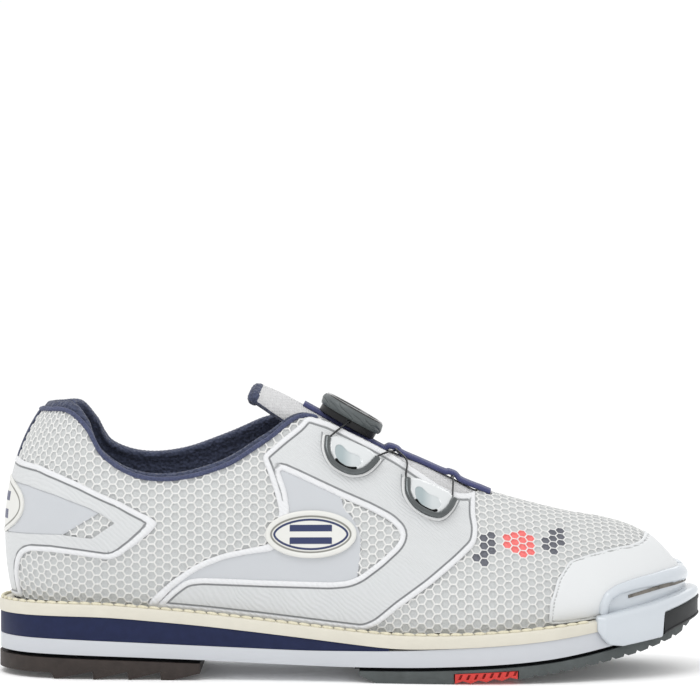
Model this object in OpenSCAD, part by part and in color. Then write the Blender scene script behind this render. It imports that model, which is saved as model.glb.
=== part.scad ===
// Bowling shoe with a dial lace closure, a changeable sole and a changeable heel.
// Millimetres. +X to the toe, -Y the outer side, +Z up, floor at z = 0.

/* [Overall size] */
// Length of the whole shoe
shoe_length = 306; // [240:1:330]
// Width across the ball of the sole
ball_width = 102; // [80:1:125]
// Height from the floor to the top of the tongue
shoe_height = 126; // [100:1:155]

/* [Upper] */
// Thickness of the knitted mesh skin
mesh_t = 1.2; // [0.8:0.1:2]
// Thickness of the moulded frames on the mesh
overlay_t = 1.2; // [0.6:0.1:2]
// Thickness of the foam at the collar
collar_foam_t = 3.2; // [2:0.1:6]
// Thickness of the tongue's foam
tongue_foam_t = 4.8; // [3:0.1:8]
// Width of the strap down the tongue
strap_w = 12; // [8:0.5:18]

/* [Dial] */
// Outside diameter of the dial's grip
dial_d = 29.8; // [26:0.2:36]
// Height of the dial above its strap
dial_h = 8; // [7:0.1:11]
// How far the dial pulls out to let the lace go
pull = 2; // [1:0.1:3]
// Diameter of the lace
lace_d = 0.9; // [0.6:0.1:1.4]

/* [Sole] */
// Thickness of each half of the hook-and-loop layer
hook_t = 0.7; // [0.5:0.1:1.5]
// Height of the teeth on the heel
tooth_h = 3.5; // [1:0.5:5]

/* [Hidden] */
kx = shoe_length / 306;
ky = ball_width / 102;
kz = shoe_height / 126;
// Moves the whole shoe so its box stands centred on the origin
ox = 0;
oy = 1.8;
gap = 0.1;
// Glue line under the side frames
seam = 0.3;
$fn = 96;

// ---- heights of the sole's layers along the shoe ----
base_bot = [[-156, 11], [-120, 10.5], [-64, 8.8], [-30, 7.4], [0, 6.6], [30, 6.8], [60, 8],
    [85, 10], [105, 13.5], [125, 18], [140, 22.5], [156, 28]];
base_top = [[-156, 17.5], [-120, 17], [-64, 14.8], [-20, 13.3], [20, 13.6], [45, 15], [65, 16.2],
    [85, 18], [105, 21], [125, 25], [140, 29], [156, 34]];
wedge_top = [[-156, 27], [-106, 26.8], [-64, 23.4], [-21, 18.8], [0, 16.4], [20, 14.2]];
welt_low = [[-156, 27], [-106, 26.8], [-64, 23.4], [-21, 18.8], [0, 16.4], [20, 14.2], [45, 15],
    [65, 16.2], [85, 18], [105, 21], [125, 25], [140, 29], [156, 34]];
welt_top = [[-156, 32.4], [-106, 32.2], [-64, 28.8], [-21, 24.2], [0, 21.9], [20, 20.2], [45, 20.4],
    [65, 21.6], [85, 23.4], [105, 25.6], [125, 28.8], [140, 32.2], [156, 36.5]];

function lift(tab, dz) = [for (p = tab) [p[0], p[1] + dz]];
function rev(tab) = [for (i = [len(tab) - 1 : -1 : 0]) tab[i]];
function cut_x(tab, a, b) = concat([[a, lookup(a, tab)]],
    [for (p = tab) if (p[0] > a + 0.5 && p[0] < b - 0.5) p], [[b, lookup(b, tab)]]);

// ---- plan of the sole; the forefoot bends inwards by skew(x) ----
function skew(x) = x > 40 ? 0.0004 * (x - 40) * (x - 40) : 0;
plan = [[-153, 0], [-149.5, -15], [-138, -27.5], [-118, -34.5], [-90, -36.5], [-60, -38.5],
    [-30, -41.5], [0, -45.5], [30, -49.5], [60, -51.5], [85, -49.5], [105, -44], [122, -36],
    [137, -25], [146.5, -12], [149.8, 0], [146.5, 12], [137, 25], [122, 36], [105, 43], [85, 46.5],
    [60, 44], [30, 36], [0, 30.5], [-30, 29], [-60, 31], [-90, 34], [-118, 34.5], [-138, 27.5],
    [-149.5, 15]];

function cr(a, b, c, d, f) = 0.5 * (2 * b + (c - a) * f + (2 * a - 5 * b + 4 * c - d) * f * f
    + (3 * b - a - 3 * c + d) * f * f * f);
function at(l, i) = l[((i % len(l)) + len(l)) % len(l)];
function ringpt(l, u) = let (i = floor(u), f = u - i)
    cr(at(l, i - 1), at(l, i), at(l, i + 1), at(l, i + 2), f);
function plan_at(u) = let (p = ringpt(plan, u)) [p[0], p[1] + skew(p[0])];
// The outline moved outwards by d mm
function outline(d) = [for (k = [0 : 89]) let (u = k / 3, p = plan_at(u),
    t = plan_at(u + 0.05) - plan_at(u - 0.05), n = [t[1], -t[0]] / norm(t))
    [p[0] * kx + n[0] * d, p[1] * ky + n[1] * d]];

module plan2d(d) {
    if (d < -5) offset(delta = d) polygon(outline(0));
    else polygon(outline(d));
}

module side(profile, y0 = -90, y1 = 90)
    translate([0, y1, 0]) rotate([90, 0, 0]) linear_extrude(y1 - y0)
        polygon([for (p = profile) [p[0] * kx, p[1] * kz]]);

module layer(d, low, high, a, b)
    intersection() {
        linear_extrude(60 * kz) plan2d(d);
        side(concat(cut_x(low, a, b), rev(cut_x(high, a, b))));
    }

module midsole_base() color("#d3d8de") place() layer(0, base_bot, base_top, -155, 151);

module midsole_wedge() color("#2a3050") place()
    layer(0, lift(base_top, gap), concat(wedge_top, [[21, 14]]), -155, 17);

module welt() color("#ece9dc") place() difference() {
    layer(0.4, lift(welt_low, gap), welt_top, -155, 151);
    linear_extrude(60 * kz) plan2d(-13);
}

module insole_board() color("#b59a72") place() difference() {
    layer(-13.2, lift(welt_low, gap), lift(welt_top, -0.2), -155, 151);
    side([[-82, 10], [-82, 60], [12, 60], [12, 10]], -7.2, 7.2);
}

module shank() color("#8f959b") place()
    side(concat(cut_x(lift(welt_low, 0.6), -81.8, 11.8), rev(cut_x(lift(welt_top, -0.6), -81.8, 11.8))), -7, 7);

module sockliner() color("#39405c") place() layer(-13.4, lift(welt_top, 0.1), lift(welt_top, 3.1), -155, 151);

// ---- the upper: curves from the sole edge to the collar, the throat or the ridge of the toe ----
// each row: sole edge x, y; first handle; second handle; top
outer = [
    [[-146.8, 0], [-154, 0, 60], [-149, 0, 95], [-134.5, 0, 114.5]],
    [[-142, -14], [-150, -19, 58], [-146, -15, 93], [-130, -11, 115]],
    [[-130, -25], [-135, -33, 57], [-132, -27, 92], [-121, -20, 114.5]],
    [[-116, -29.5], [-119, -38, 55], [-118, -33, 88], [-113, -25, 107.5]],
    [[-100, -31], [-101, -40, 52], [-102, -36, 78], [-105.5, -29, 95.5]],
    [[-82, -32], [-82, -41, 48], [-84, -38, 70], [-91, -32, 87.2]],
    [[-62, -33], [-62, -42, 46], [-62, -39, 70], [-73, -33, 86.4]],
    [[-42, -34.5], [-41, -43, 45], [-42, -38, 75], [-53, -31.5, 92]],
    [[-24, -37], [-23, -45, 43], [-25, -38, 83], [-36, -28, 102.5]],
    [[-6, -40], [-4, -48, 41], [-7, -37, 90], [-20, -19, 112.5]],
    [[14, -42.5], [16, -50, 38], [12, -37, 82], [0, -16.8, 104.5]],
    [[34, -44.5], [36, -52, 36], [32, -36, 72], [20, -17, 94]],
    [[52, -46], [54, -53, 35], [50, -35, 63], [38, -16, 81.8]],
    [[66, -45.5], [69, -52, 35], [64, -31, 64], [47, -13.5, 78]],
    [[78, -44], [81, -50, 36], [74, -27, 66], [53, -8.5, 78.3]],
    [[88, -41], [91, -47, 37], [77, -21, 73], [56.5, 0, 79.2]],
    [[99, -38.5], [102, -44.5, 39], [91, -19, 70], [76, 0, 74]],
    [[110, -35.5], [113, -41, 40.5], [106, -20, 67], [94, 0, 69.6]],
    [[121, -30.5], [124.5, -35.5, 41.5], [119, -18, 64.5], [110, 0, 66.8]],
    [[131, -24], [135, -27.5, 42], [129, -15.5, 60.5], [123, 0, 63]],
    [[138.5, -16.5], [142.5, -19, 42], [137.5, -12, 54], [132, 0, 57.5]],
    [[143, -8.5], [146.5, -9.5, 41], [143.5, -6.5, 47], [138, 0, 50.5]],
    [[144.6, 0], [147.5, 0, 37], [147, 0, 41], [142.5, 0, 44.5]]
];
// The inner side of the foot, with its own waist and a higher collar
inner = [
    outer[0],
    [[-142, 14], [-150, 19, 58], [-146, 15, 93], [-130, 11, 115]],
    [[-130, 25], [-135, 33, 57], [-132, 27, 92], [-121, 20, 114.5]],
    [[-116, 29.5], [-119, 38, 55], [-118, 33, 88], [-113, 25, 107]],
    [[-100, 30], [-101, 39, 52], [-102, 36, 80], [-105.5, 29, 97]],
    [[-82, 28.5], [-82, 38, 49], [-84, 37, 74], [-91, 32, 92]],
    [[-62, 26.5], [-62, 36, 48], [-62, 37, 76], [-73, 33, 93.5]],
    [[-42, 25], [-41, 35, 47], [-42, 36, 80], [-53, 31, 100.5]],
    [[-24, 24.5], [-23, 34, 46], [-25, 35, 86], [-36, 27, 108]],
    [[-6, 25], [-4, 36, 44], [-7, 34, 90], [-20, 19, 112.5]],
    [[14, 28], [16, 39, 42], [12, 34, 82], [0, 16.8, 104.5]],
    [[34, 31.5], [36, 43, 40], [32, 33, 72], [20, 17, 94]],
    [[52, 36.5], [54, 46, 38], [50, 33, 64], [38, 16, 81.8]],
    [[66, 39.5], [69, 48, 38], [64, 30, 65], [47, 13.5, 78]],
    [[78, 41], [81, 48.5, 38], [74, 26, 67], [53, 8.5, 78.3]],
    [[88, 40], [91, 47, 39], [77, 21, 73], [56.5, 0, 79.2]],
    [[99, 38.5], [102, 44.5, 40], [91, 19, 70], [76, 0, 74]],
    [[110, 35.5], [113, 41, 41], [106, 20, 67], [94, 0, 69.6]],
    [[121, 30.5], [124.5, 35.5, 42], [119, 18, 64.5], [110, 0, 66.8]],
    [[131, 24], [135, 27.5, 42], [129, 15.5, 60.5], [123, 0, 63]],
    [[138.5, 16.5], [142.5, 19, 42], [137.5, 12, 54], [132, 0, 57.5]],
    [[143, 8.5], [146.5, 9.5, 41], [143.5, 6.5, 47], [138, 0, 50.5]],
    outer[22]
];
LAST = 22;
function full(r) = [[r[0][0], r[0][1], lookup(r[0][0], welt_top) + 0.3], r[1], r[2], r[3]];
ring = concat([for (r = outer) full(r)], [for (i = [LAST - 1 : -1 : 1]) full(inner[i])]);
RN = 2 * LAST;

function wrapu(u) = u - RN * floor(u / RN);
function onside(p, u) = let (w = wrapu(u)) [p[0], w <= LAST ? min(0, p[1]) : max(0, p[1]), p[2]];
function handles(u) = let (i = floor(u), f = u - i)
    [for (k = [0 : 3]) onside(cr(at(ring, i - 1)[k], at(ring, i)[k], at(ring, i + 1)[k], at(ring, i + 2)[k], f), u)];
function bez(q, t) = q[0] * pow(1 - t, 3) + q[1] * 3 * t * pow(1 - t, 2) + q[2] * 3 * t * t * (1 - t)
    + q[3] * pow(t, 3);
function surf(u, t) = let (p = bez(handles(u), t)) [p[0] * kx, (p[1] + skew(p[0])) * ky, p[2] * kz];
function ridge_u(u) = let (w = wrapu(u)) w >= 14.999 && w <= 29.001;
function flat_n(n) = [n[0], 0, n[2]] / norm([n[0], 0, n[2]]);
function nrm(u, t) = let (s = min(t, 0.985), a = surf(u + 0.06, s) - surf(u - 0.06, s),
    b = surf(u, min(1, t + 0.02)) - surf(u, t - 0.02), n = cross(a, b), m = n / norm(n))
    t > 0.999 && ridge_u(u) ? flat_n(m) : m;
function off(u, t, d) = surf(u, t) + nrm(u, t) * d;

// Foam is full round the collar and runs out before the throat
function side_u(u) = let (w = wrapu(u)) min(w, RN - w);
function foam(u) = let (s = max(0, min(1, (side_u(u) - 7.4) / 1.5))) collar_foam_t * (1 - s * s * (3 - 2 * s));

// A skin between offsets d0 and d1; with k, the foam's depth is added to that offset
module skin(u0, u1, nu, t0, t1, nt, d0, d1, k0 = 0, k1 = 0) {
    w = nt + 1;
    half = nu / 2;
    m = (nu + 1) * w;
    us = [for (i = [0 : nu]) u0 + (u1 - u0) * i / nu];
    closed = t1 > 0.999 && ridge_u((u0 + u1) / 2);
    fold = [for (i = [0 : nu]) closed && ridge_u(us[i]) && i > half ? nu - i : i];
    open = [for (i = [0 : nu - 1]) !(closed && ridge_u(us[i]) && ridge_u(us[i + 1]))];
    pts = [for (s = [0, 1]) for (i = [0 : nu]) for (j = [0 : nt])
        off(us[i], t0 + (t1 - t0) * j / nt, s == 0 ? d0 - k0 * foam(us[i]) : d1 - k1 * foam(us[i]))];
    id = [for (s = [0, 1]) for (i = [0 : nu]) for (j = [0 : nt]) s * m + (j == nt ? fold[i] : i) * w + j];
    faces = concat(
        [for (i = [0 : nu - 1]) for (j = [0 : nt - 1]) each let (a = m + i * w + j)
            quad(id[a], id[a + 1], id[a + w + 1], id[a + w])],
        [for (i = [0 : nu - 1]) for (j = [0 : nt - 1]) each let (a = i * w + j)
            quad(id[a], id[a + w], id[a + w + 1], id[a + 1])],
        [for (i = [0 : nu - 1]) each let (a = i * w) quad(id[a], id[m + a], id[m + a + w], id[a + w])],
        [for (i = [0 : nu - 1]) if (open[i]) each let (a = i * w + nt)
            quad(id[a], id[a + w], id[m + a + w], id[m + a])],
        [for (j = [0 : nt - 1]) each quad(id[j], id[j + 1], id[m + j + 1], id[m + j])],
        [for (j = [0 : nt - 1]) each let (a = nu * w + j) quad(id[a], id[m + a], id[m + a + 1], id[a + 1])]);
    polyhedron(pts, faces, convexity = 10);
}
function quad(a, b, c, d) = [[a, b, c], [a, c, d]];

// A closed tube through rings of equally many points
module tube(rings) {
    n = len(rings[0]);
    m = len(rings);
    faces = concat(
        [for (i = [0 : m - 2]) for (j = [0 : n - 1]) each let (k = (j + 1) % n)
            quad(i * n + j, i * n + k, (i + 1) * n + k, (i + 1) * n + j)],
        [[for (j = [n - 1 : -1 : 0]) j]], [[for (j = [0 : n - 1]) (m - 1) * n + j]]);
    polyhedron([for (r = rings) each r], faces, convexity = 10);
}

module place() translate([ox, oy, 0]) children();

// Every layer takes its columns from one of two grids, so that stacked layers stay parallel
vamp_0 = 11.5;
vamp_step = 0.7;
function vamp_u(k) = vamp_0 + vamp_step * k;
quarter_end = 11.49;
quarter_step = quarter_end / 19;
module vamp_skin(k0, k1, d0, d1) skin(vamp_u(k0), vamp_u(k1), k1 - k0, 0.01, 1, 10, d0, d1);
module quarter_skin(k, t0, t1, nt, d0, d1, k0 = 0, k1 = 0)
    skin(-k * quarter_step, k * quarter_step, 2 * k, t0, t1, nt, d0, d1, k0, k1);

module vamp_mesh() color("#f0f0ee") place() vamp_skin(0, 30, -mesh_t, 0);
module quarter_mesh() color("#f0f0ee") place() quarter_skin(19, 0.01, 0.985, 10, -mesh_t, 0);
module vamp_lining() color("#39405c") place() vamp_skin(0, 30, -mesh_t - 1.9, -mesh_t - 1.1);
module quarter_lining() color("#2a3050") place()
    quarter_skin(19, 0.01, 0.985, 10, -mesh_t - 1, -mesh_t - 0.2, 1, 1);
module collar_foam() color("#e8e2c8") place() quarter_skin(14, 0.4, 0.985, 6, -mesh_t - 0.1, -mesh_t - 0.1, 1, 0);
module heel_counter() color("#c9cbca") place()
    quarter_skin(14, 0.02, 0.385, 4, -mesh_t - 0.1, -mesh_t - 0.1, 0.95, 0);
module toe_puff() color("#c9cbca") place() vamp_skin(9, 21, -mesh_t - 0.9, -mesh_t - 0.2);

// A rolled edge that caps the collar
module collar_binding() color("#2a3050") place() tube([for (i = [0 : 38]) let (u = -9.25 + 18.5 * i / 38,
    n = nrm(u, 0.99), w = (foam(u) + mesh_t + 1) / 2 + 0.35, b = surf(u, 1) - surf(u, 0.96),
    up = b / norm(b), c = surf(u, 1) + n * (0.3 - w) + up * 1.7)
    [for (k = [0 : 7]) let (a = k * 45) c + n * (w * cos(a)) + up * (1.65 * sin(a))]]);

module on_upper(profile, y0, y1, u0, u1, nu, t1, nt, d0, d1) resize([0, 0, 0]) intersection() {
    skin(u0, u1, nu, 0.01, t1, nt, d0, d1);
    difference() {
        side(profile[0], y0, y1);
        for (i = [1 : 1 : len(profile) - 1]) side(profile[i], y0 - 1, y1 + 1);
    }
}

heel_shape = [[[-170, 101], [-145, 94.5], [-133, 90.8], [-124, 87.3], [-115, 83.6], [-98, 76], [-85, 69.6],
    [-81.8, 67], [-85, 63], [-91.5, 57.7], [-98, 53], [-102.5, 51.3], [-115, 52.9], [-128, 54.3], [-137, 54.3],
    [-140.5, 52.8], [-142.5, 49.2], [-143.5, 43.5], [-143, 37], [-142, 25], [-170, 25]],
    [[-124, 61.8], [-107.3, 71.3], [-100, 67], [-110, 60.2]]];
module heel_frame() color("#e6e8ea") place()
    on_upper(heel_shape, -90, 90, -11 * quarter_step, 11 * quarter_step, 22, 0.94, 10, gap, gap + overlay_t);
module heel_badge() color("#2a3050") place() quarter_skin(3, 0.38, 0.58, 4, gap * 4 + overlay_t, 0.9 + overlay_t);

side_shape = [[[-37.8, 95], [-30, 101.7], [-21.6, 108.1], [-17, 119], [30, 103], [58, 80], [51, 73.8], [53.7, 69.7],
    [54.8, 63.7], [53.7, 57.7], [46.8, 51.6], [34, 41.3], [21, 32], [9.3, 21], [6, 12], [-89, 12], [-88.6, 30],
    [-85, 34.4], [-76.5, 42.2], [-68, 48.1], [-61.6, 51.6], [-53, 54.5], [-44.6, 56.2], [-34, 58.3], [-29.9, 71.5],
    [-31.6, 78.6], [-35.2, 89.1]],
    [[-30.5, 90], [-21.4, 86], [-4.3, 78], [8.5, 72.4], [17, 67.9], [21, 64], [21.6, 61.4], [20, 58], [12.4, 51.2],
    [4, 45], [-1, 43], [-8.5, 42.4], [-38, 43], [-63.8, 44], [-70, 43], [-76, 38.5], [-83, 31.5], [-75, 40],
    [-67, 45.8], [-61, 49], [-53, 52], [-44.6, 53.8], [-32, 55.5], [-25.5, 71.5], [-27, 80.8]]];
film_shape = [[[-29.7, 88.8], [-21.4, 85], [-4.3, 77.2], [-3.5, 74], [1.5, 69], [4.8, 62], [4.5, 54], [3.4, 46.2],
    [-1.2, 43.8], [-8.5, 43.2], [-38, 43.8], [-63.6, 44.8], [-69.6, 43.9], [-66.5, 44.9], [-60.6, 48.2], [-52.6, 51.2],
    [-44.4, 53], [-31.2, 54.8], [-24.5, 71.5], [-26, 80.8]]];
function oval(a, b, n) = [for (k = [0 : n - 1]) [-16.6 + a * cos(k * 360 / n), 62.4 + b * sin(k * 360 / n)]];
module frame_side(s) on_upper(side_shape, s < 0 ? -90 : 0, s < 0 ? 0 : 90,
    s < 0 ? 4.2 : 29.2, s < 0 ? 14.8 : 39.8, 20, 0.985, 10, seam, gap + overlay_t);
module film_side(s) on_upper(film_shape, s < 0 ? -90 : 0, s < 0 ? 0 : 90,
    s < 0 ? 4.2 : 29.2, s < 0 ? 14.8 : 39.8, 20, 0.985, 10, gap, gap + 0.4);
module badge_side(s) on_upper([oval(19.4, 10, 24)], s < 0 ? -90 : 0, s < 0 ? 0 : 90,
    s < 0 ? 4.2 : 29.2, s < 0 ? 14.8 : 39.8, 20, 0.985, 10, overlay_t + 0.2, overlay_t + 0.8);
module side_frame_lateral() color("#e6e8ea") place() frame_side(-1);
module side_frame_medial() color("#e6e8ea") place() frame_side(1);
module side_film_lateral() color("#d4d8de") place() film_side(-1);
module side_film_medial() color("#d4d8de") place() film_side(1);
module side_badge_lateral() color("#2a3050") place() badge_side(-1);
module side_badge_medial() color("#2a3050") place() badge_side(1);

cap_shape = [[[83, 10], [84.9, 33.3], [88.2, 42.6], [93.8, 50], [107.6, 53.5], [121.5, 55.6], [126.5, 57.3],
    [129.5, 60], [131, 75], [170, 75], [170, 10]]];
guard_shape = [[[105, 10], [106, 32.3], [108.3, 36.8], [113.3, 39.8], [120.2, 41.8], [129.6, 43.6], [139.3, 45.2],
    [170, 46], [170, 10]]];
// Everything higher than the welt
module above_welt() side(concat(cut_x(lift(welt_top, 0.3), 60, 156), [[175, 42], [175, 90], [60, 90]]));
module toe_cap() color("#eceded") place() resize([0, 0, 0]) intersection() {
    vamp_skin(3, 27, gap, gap + overlay_t);
    side(cap_shape[0]);
    above_welt();
}
module toe_guard() color("#dfe6ec") place() resize([0, 0, 0]) intersection() {
    vamp_skin(6, 24, overlay_t + 0.3, overlay_t + 2);
    side(guard_shape[0]);
    above_welt();
}
// The rubber band round the toe, outside the sole's edge
module toe_rand() color("#dfe6ec") place() difference() {
    intersection() {
        linear_extrude(60 * kz) polygon(outline(3.4));
        side([[104.8, 27.2], [129, 31.7], [143.5, 35], [156, 38], [156, 34.2], [132.2, 27.3], [132.8, 17.4], [115, 14.8],
            [109.3, 15.3], [106.2, 18.6], [105.2, 24.2]]);
    }
    translate([0, 0, -1]) linear_extrude(62 * kz) polygon(outline(0.55));
}
module toe_bumper() color("#333536") place() difference() {
    intersection() {
        linear_extrude(60 * kz) polygon(outline(3.6));
        side([[132.4, 27.1], [156, 33.9], [157, 25.5], [140, 20.5], [133, 17.2]]);
    }
    translate([0, 0, -1]) linear_extrude(62 * kz) polygon(outline(0.15));
}

// ---- tongue ----
// centre line x, z; half width along the arc; radius of the arc
tongue_line = [[68, 65.5, 8, 17], [60, 70.6, 11.5, 17], [52.5, 76, 15, 17.5], [43.8, 82.2, 20, 19.5],
    [30.6, 89.2, 22, 21.5], [12.3, 97.4, 23, 24], [-1.7, 105.4, 23, 26], [-19, 115.2, 21, 26], [-30, 121, 19, 25],
    [-38, 124.5, 16, 24]];
TL = len(tongue_line) - 1;
function tl(i) = tongue_line[max(0, min(TL, i))];
function tline(v) = let (i = floor(v), f = v - i) cr(tl(i - 1), tl(i), tl(i + 1), tl(i + 2), f);
function tpt(v, w, d) = let (p = tline(v), q = tline(min(TL, v + 0.1)) - tline(max(0, v - 0.1)),
    t = [q[0] * kx, q[1] * kz] / norm([q[0] * kx, q[1] * kz]), n = [t[1], -t[0]], r = p[3] * ky,
    a = w * p[2] / p[3] * 57.3, h = r * (cos(a) - 1) + d * cos(a))
    [p[0] * kx + n[0] * h, (r + d) * sin(a) + skew(p[0]) * ky, p[1] * kz + n[1] * h];
module pad(v0, v1, d0, d1, f) {
    nv = 12;
    nw = 8;
    w = nw + 1;
    m = (nv + 1) * w;
    pts = [for (d = [d0, d1]) for (i = [0 : nv]) for (j = [0 : nw])
        tpt(v0 + (v1 - v0) * i / nv, f * (2 * j / nw - 1), d)];
    faces = concat(
        [for (i = [0 : nv - 1]) for (j = [0 : nw - 1]) each let (a = m + i * w + j) quad(a, a + w, a + w + 1, a + 1)],
        [for (i = [0 : nv - 1]) for (j = [0 : nw - 1]) each let (a = i * w + j) quad(a, a + 1, a + w + 1, a + w)],
        [for (i = [0 : nv - 1]) each let (a = i * w) quad(a, a + w, m + a + w, m + a)],
        [for (i = [0 : nv - 1]) each let (a = i * w + nw) quad(a, m + a, m + a + w, a + w)],
        [for (j = [0 : nw - 1]) each quad(j, m + j, m + j + 1, j + 1)],
        [for (j = [0 : nw - 1]) each let (a = nv * w + j) quad(a, a + 1, m + a + 1, m + a)]);
    polyhedron(pts, faces, convexity = 8);
}
module tongue_face() color("#e9e9ea") place() pad(0, TL, -0.9, 0, 1);
module tongue_foam() color("#e8e2c8") place() pad(0.1, TL - 0.1, -1 - tongue_foam_t, -1, 0.96);
module tongue_lining() color("#39405c") place() pad(0, TL, -1.9 - tongue_foam_t, -1.1 - tongue_foam_t, 0.95);

module tongue_strap() color("#2a3050") place() difference() {
    side([[-20, 117.6], [12.3, 99.4], [16, 97.9], [17.4, 99.8], [21, 98.7], [22.6, 95.9], [30.6, 92.8], [42, 87.7],
        [43.4, 88.8], [46.8, 87.3], [48, 84.7], [52.5, 82.6], [57.5, 81.2], [61.5, 80.4], [61.5, 79.4], [57, 80.2],
        [52.5, 81.4], [30.6, 91.5], [12.3, 98.1], [-20, 116.2]], -strap_w / 2, strap_w / 2);
    side([[16.8, 97.0], [17.6, 99.0], [20.9, 97.9], [21.6, 95.3]], -strap_w, strap_w);
    side([[42.8, 86.6], [43.8, 87.9], [46.4, 86.7], [47.2, 84.5]], -strap_w, strap_w);
}

// ---- lace guides: a D of hard plastic with a curved channel ----
g1 = [[-11.5, 102.5], [-11.5, 95.5], [-8, 90], [-2, 86.6], [3.5, 86], [8, 88], [12.3, 92.4], [8, 96], [-5, 102]];
g2 = [[22.5, 84.2], [22.9, 77.5], [26.3, 72.2], [32, 68.5], [37.8, 67.2], [42, 70], [45, 74.4], [42, 77.5], [28, 84]];
c1 = [[-9.6, 104], [-9.2, 97], [-6.6, 91.7], [-1.6, 88.9], [3.2, 88.4], [7, 90.2], [12, 95.4]];
c2 = [[24.2, 86], [24.9, 78.5], [27.9, 73.9], [32.8, 70.8], [37.4, 69.8], [40.6, 72], [45, 78]];
function edge_n(l, i) = let (t = l[min(len(l) - 1, i + 1)] - l[max(0, i - 1)]) [-t[1], t[0]] / norm(t);
function band(l, w) = concat([for (i = [0 : len(l) - 1]) l[i] + edge_n(l, i) * w],
    [for (i = [len(l) - 1 : -1 : 0]) l[i] - edge_n(l, i) * w]);
module guide(shape, channel, s, a, b) {
    u0 = s < 0 ? a : RN - b;
    u1 = s < 0 ? b : RN - a;
    y0 = s < 0 ? -90 : 0;
    resize([0, 0, 0]) difference() {
        intersection() {
            skin(u0, u1, 10, 0.55, 0.985, 8, overlay_t + 0.35, overlay_t + 3);
            side(shape, y0, y0 + 90);
        }
        intersection() {
            skin(u0 - 0.1, u1 + 0.1, 10, 0.5, 0.99, 8, overlay_t + 1.1, overlay_t + 5);
            side(band(channel, 0.95), y0 - 1, y0 + 91);
        }
    }
}
module lace_guide_1l() color("#b9c3c6") place() guide(g1, c1, -1, 8.9, 11.4);
module lace_guide_1m() color("#b9c3c6") place() guide(g1, c1, 1, 8.9, 11.4);
module lace_guide_2l() color("#b9c3c6") place() guide(g2, c2, -1, 10.3, 13.6);
module lace_guide_2m() color("#b9c3c6") place() guide(g2, c2, 1, 10.3, 13.6);

// ---- lace ----
// Finds where the surface d above the upper shows at x, z from the side
function find(x, z, u, t, d, n = 8) = n == 0 ? off(u, t, d) : let (p = off(u, t, d),
    a = (off(u + 0.02, t, d) - p) / 0.02, b = (off(u, t + 0.005, d) - p) / 0.005,
    e = [x * kx - p[0], z * kz - p[2]], dt = a[0] * b[2] - b[0] * a[2])
    find(x, z, u + (e[0] * b[2] - b[0] * e[1]) / dt, min(0.99, t + (a[0] * e[1] - e[0] * a[2]) / dt), d, n - 1);
function on(p, s, d) = find(p[0], p[1], s < 0 ? p[2] : RN - p[2], 0.85, overlay_t + d);
dial_tilt = atan(tan(29.5) * kz / kx);
dial_at = [-1.7 * kx, 0, 107.5 * kz];
function dial_pt(p) = [dial_at[0] + p[0] * cos(dial_tilt) + p[2] * sin(dial_tilt), p[1],
    dial_at[2] - p[0] * sin(dial_tilt) + p[2] * cos(dial_tilt)];
function k3(x, y, z) = [x * kx, y * ky, z * kz];
channel_1 = [[-9.4, 99.5, 9.8], [-9.2, 97, 9.8], [-8.2, 94.3, 10], [-6.6, 91.7, 10.2], [-4.2, 90, 10.3], [-1.6, 88.9, 10.4],
    [0.8, 88.4, 10.5], [3.2, 88.4, 10.6], [5.2, 89, 10.7], [7, 90.2, 10.7], [8.8, 91.9, 10.7]];
channel_2 = [[24.5, 82, 11.3], [24.9, 78.5, 11.4], [26.1, 76, 11.5], [27.9, 73.9, 11.7], [30.2, 72.2, 11.9],
    [32.8, 70.8, 12.1], [35.2, 70, 12.3], [37.4, 69.8, 12.5], [39.2, 70.6, 12.5], [40.6, 72, 12.5], [42.4, 74.2, 12.6]];
function side_run(s, z2) = concat(
    [dial_pt([0, s * 8.4, 2.1]), dial_pt([0, s * 15, 2])],
    [on([-9.5, 102.6, 9.7], s, 2.2)], [for (p = channel_1) on(p, s, 2)],
    [on([12.2, 95, 10.8], s, 1.4), off(s < 0 ? 10.8 : RN - 10.8, 0.985, overlay_t + 1), k3(18.3, s * 8, z2)]);
function lower_run(s, zc) = concat([k3(20.2, s * 8, zc), off(s < 0 ? 11.15 : RN - 11.15, 0.985, overlay_t + 1),
    on([24, 87, 11.2], s, 1.6)], [for (p = channel_2) on(p, s, 2)],
    [on([44, 77, 12.7], s, 1.6), k3(44.9, s * 10, 85), k3(44.9, s * 6, 86.3)]);
// dial, outer upper guide, loop, inner lower guide, loop, outer lower guide, loop, inner upper guide, dial
path = concat(side_run(-1, 97), [k3(18.6, -4, 96.9), k3(19.2, 0, 96.7), k3(19.9, 4, 96.4)], lower_run(1, 96.5),
    rev(lower_run(-1, 97.6)), [k3(19.9, -4, 97.5), k3(19.2, 0, 97.8), k3(18.6, 4, 98.1)], rev(side_run(1, 98.2)));
function frame_at(p, i) = let (t = p[min(len(p) - 1, i + 1)] - p[max(0, i - 1)], d = t / norm(t),
    h = cross(d, [0.45, 0.12, 0.88]), x = h / norm(h)) [x, cross(x, d)];
module lace() color("#26282b") place() tube([for (i = [0 : len(path) - 1]) let (f = frame_at(path, i))
    [for (k = [0 : 5]) path[i] + (f[0] * cos(k * 60) + f[1] * sin(k * 60)) * lace_d / 2]]);

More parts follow.
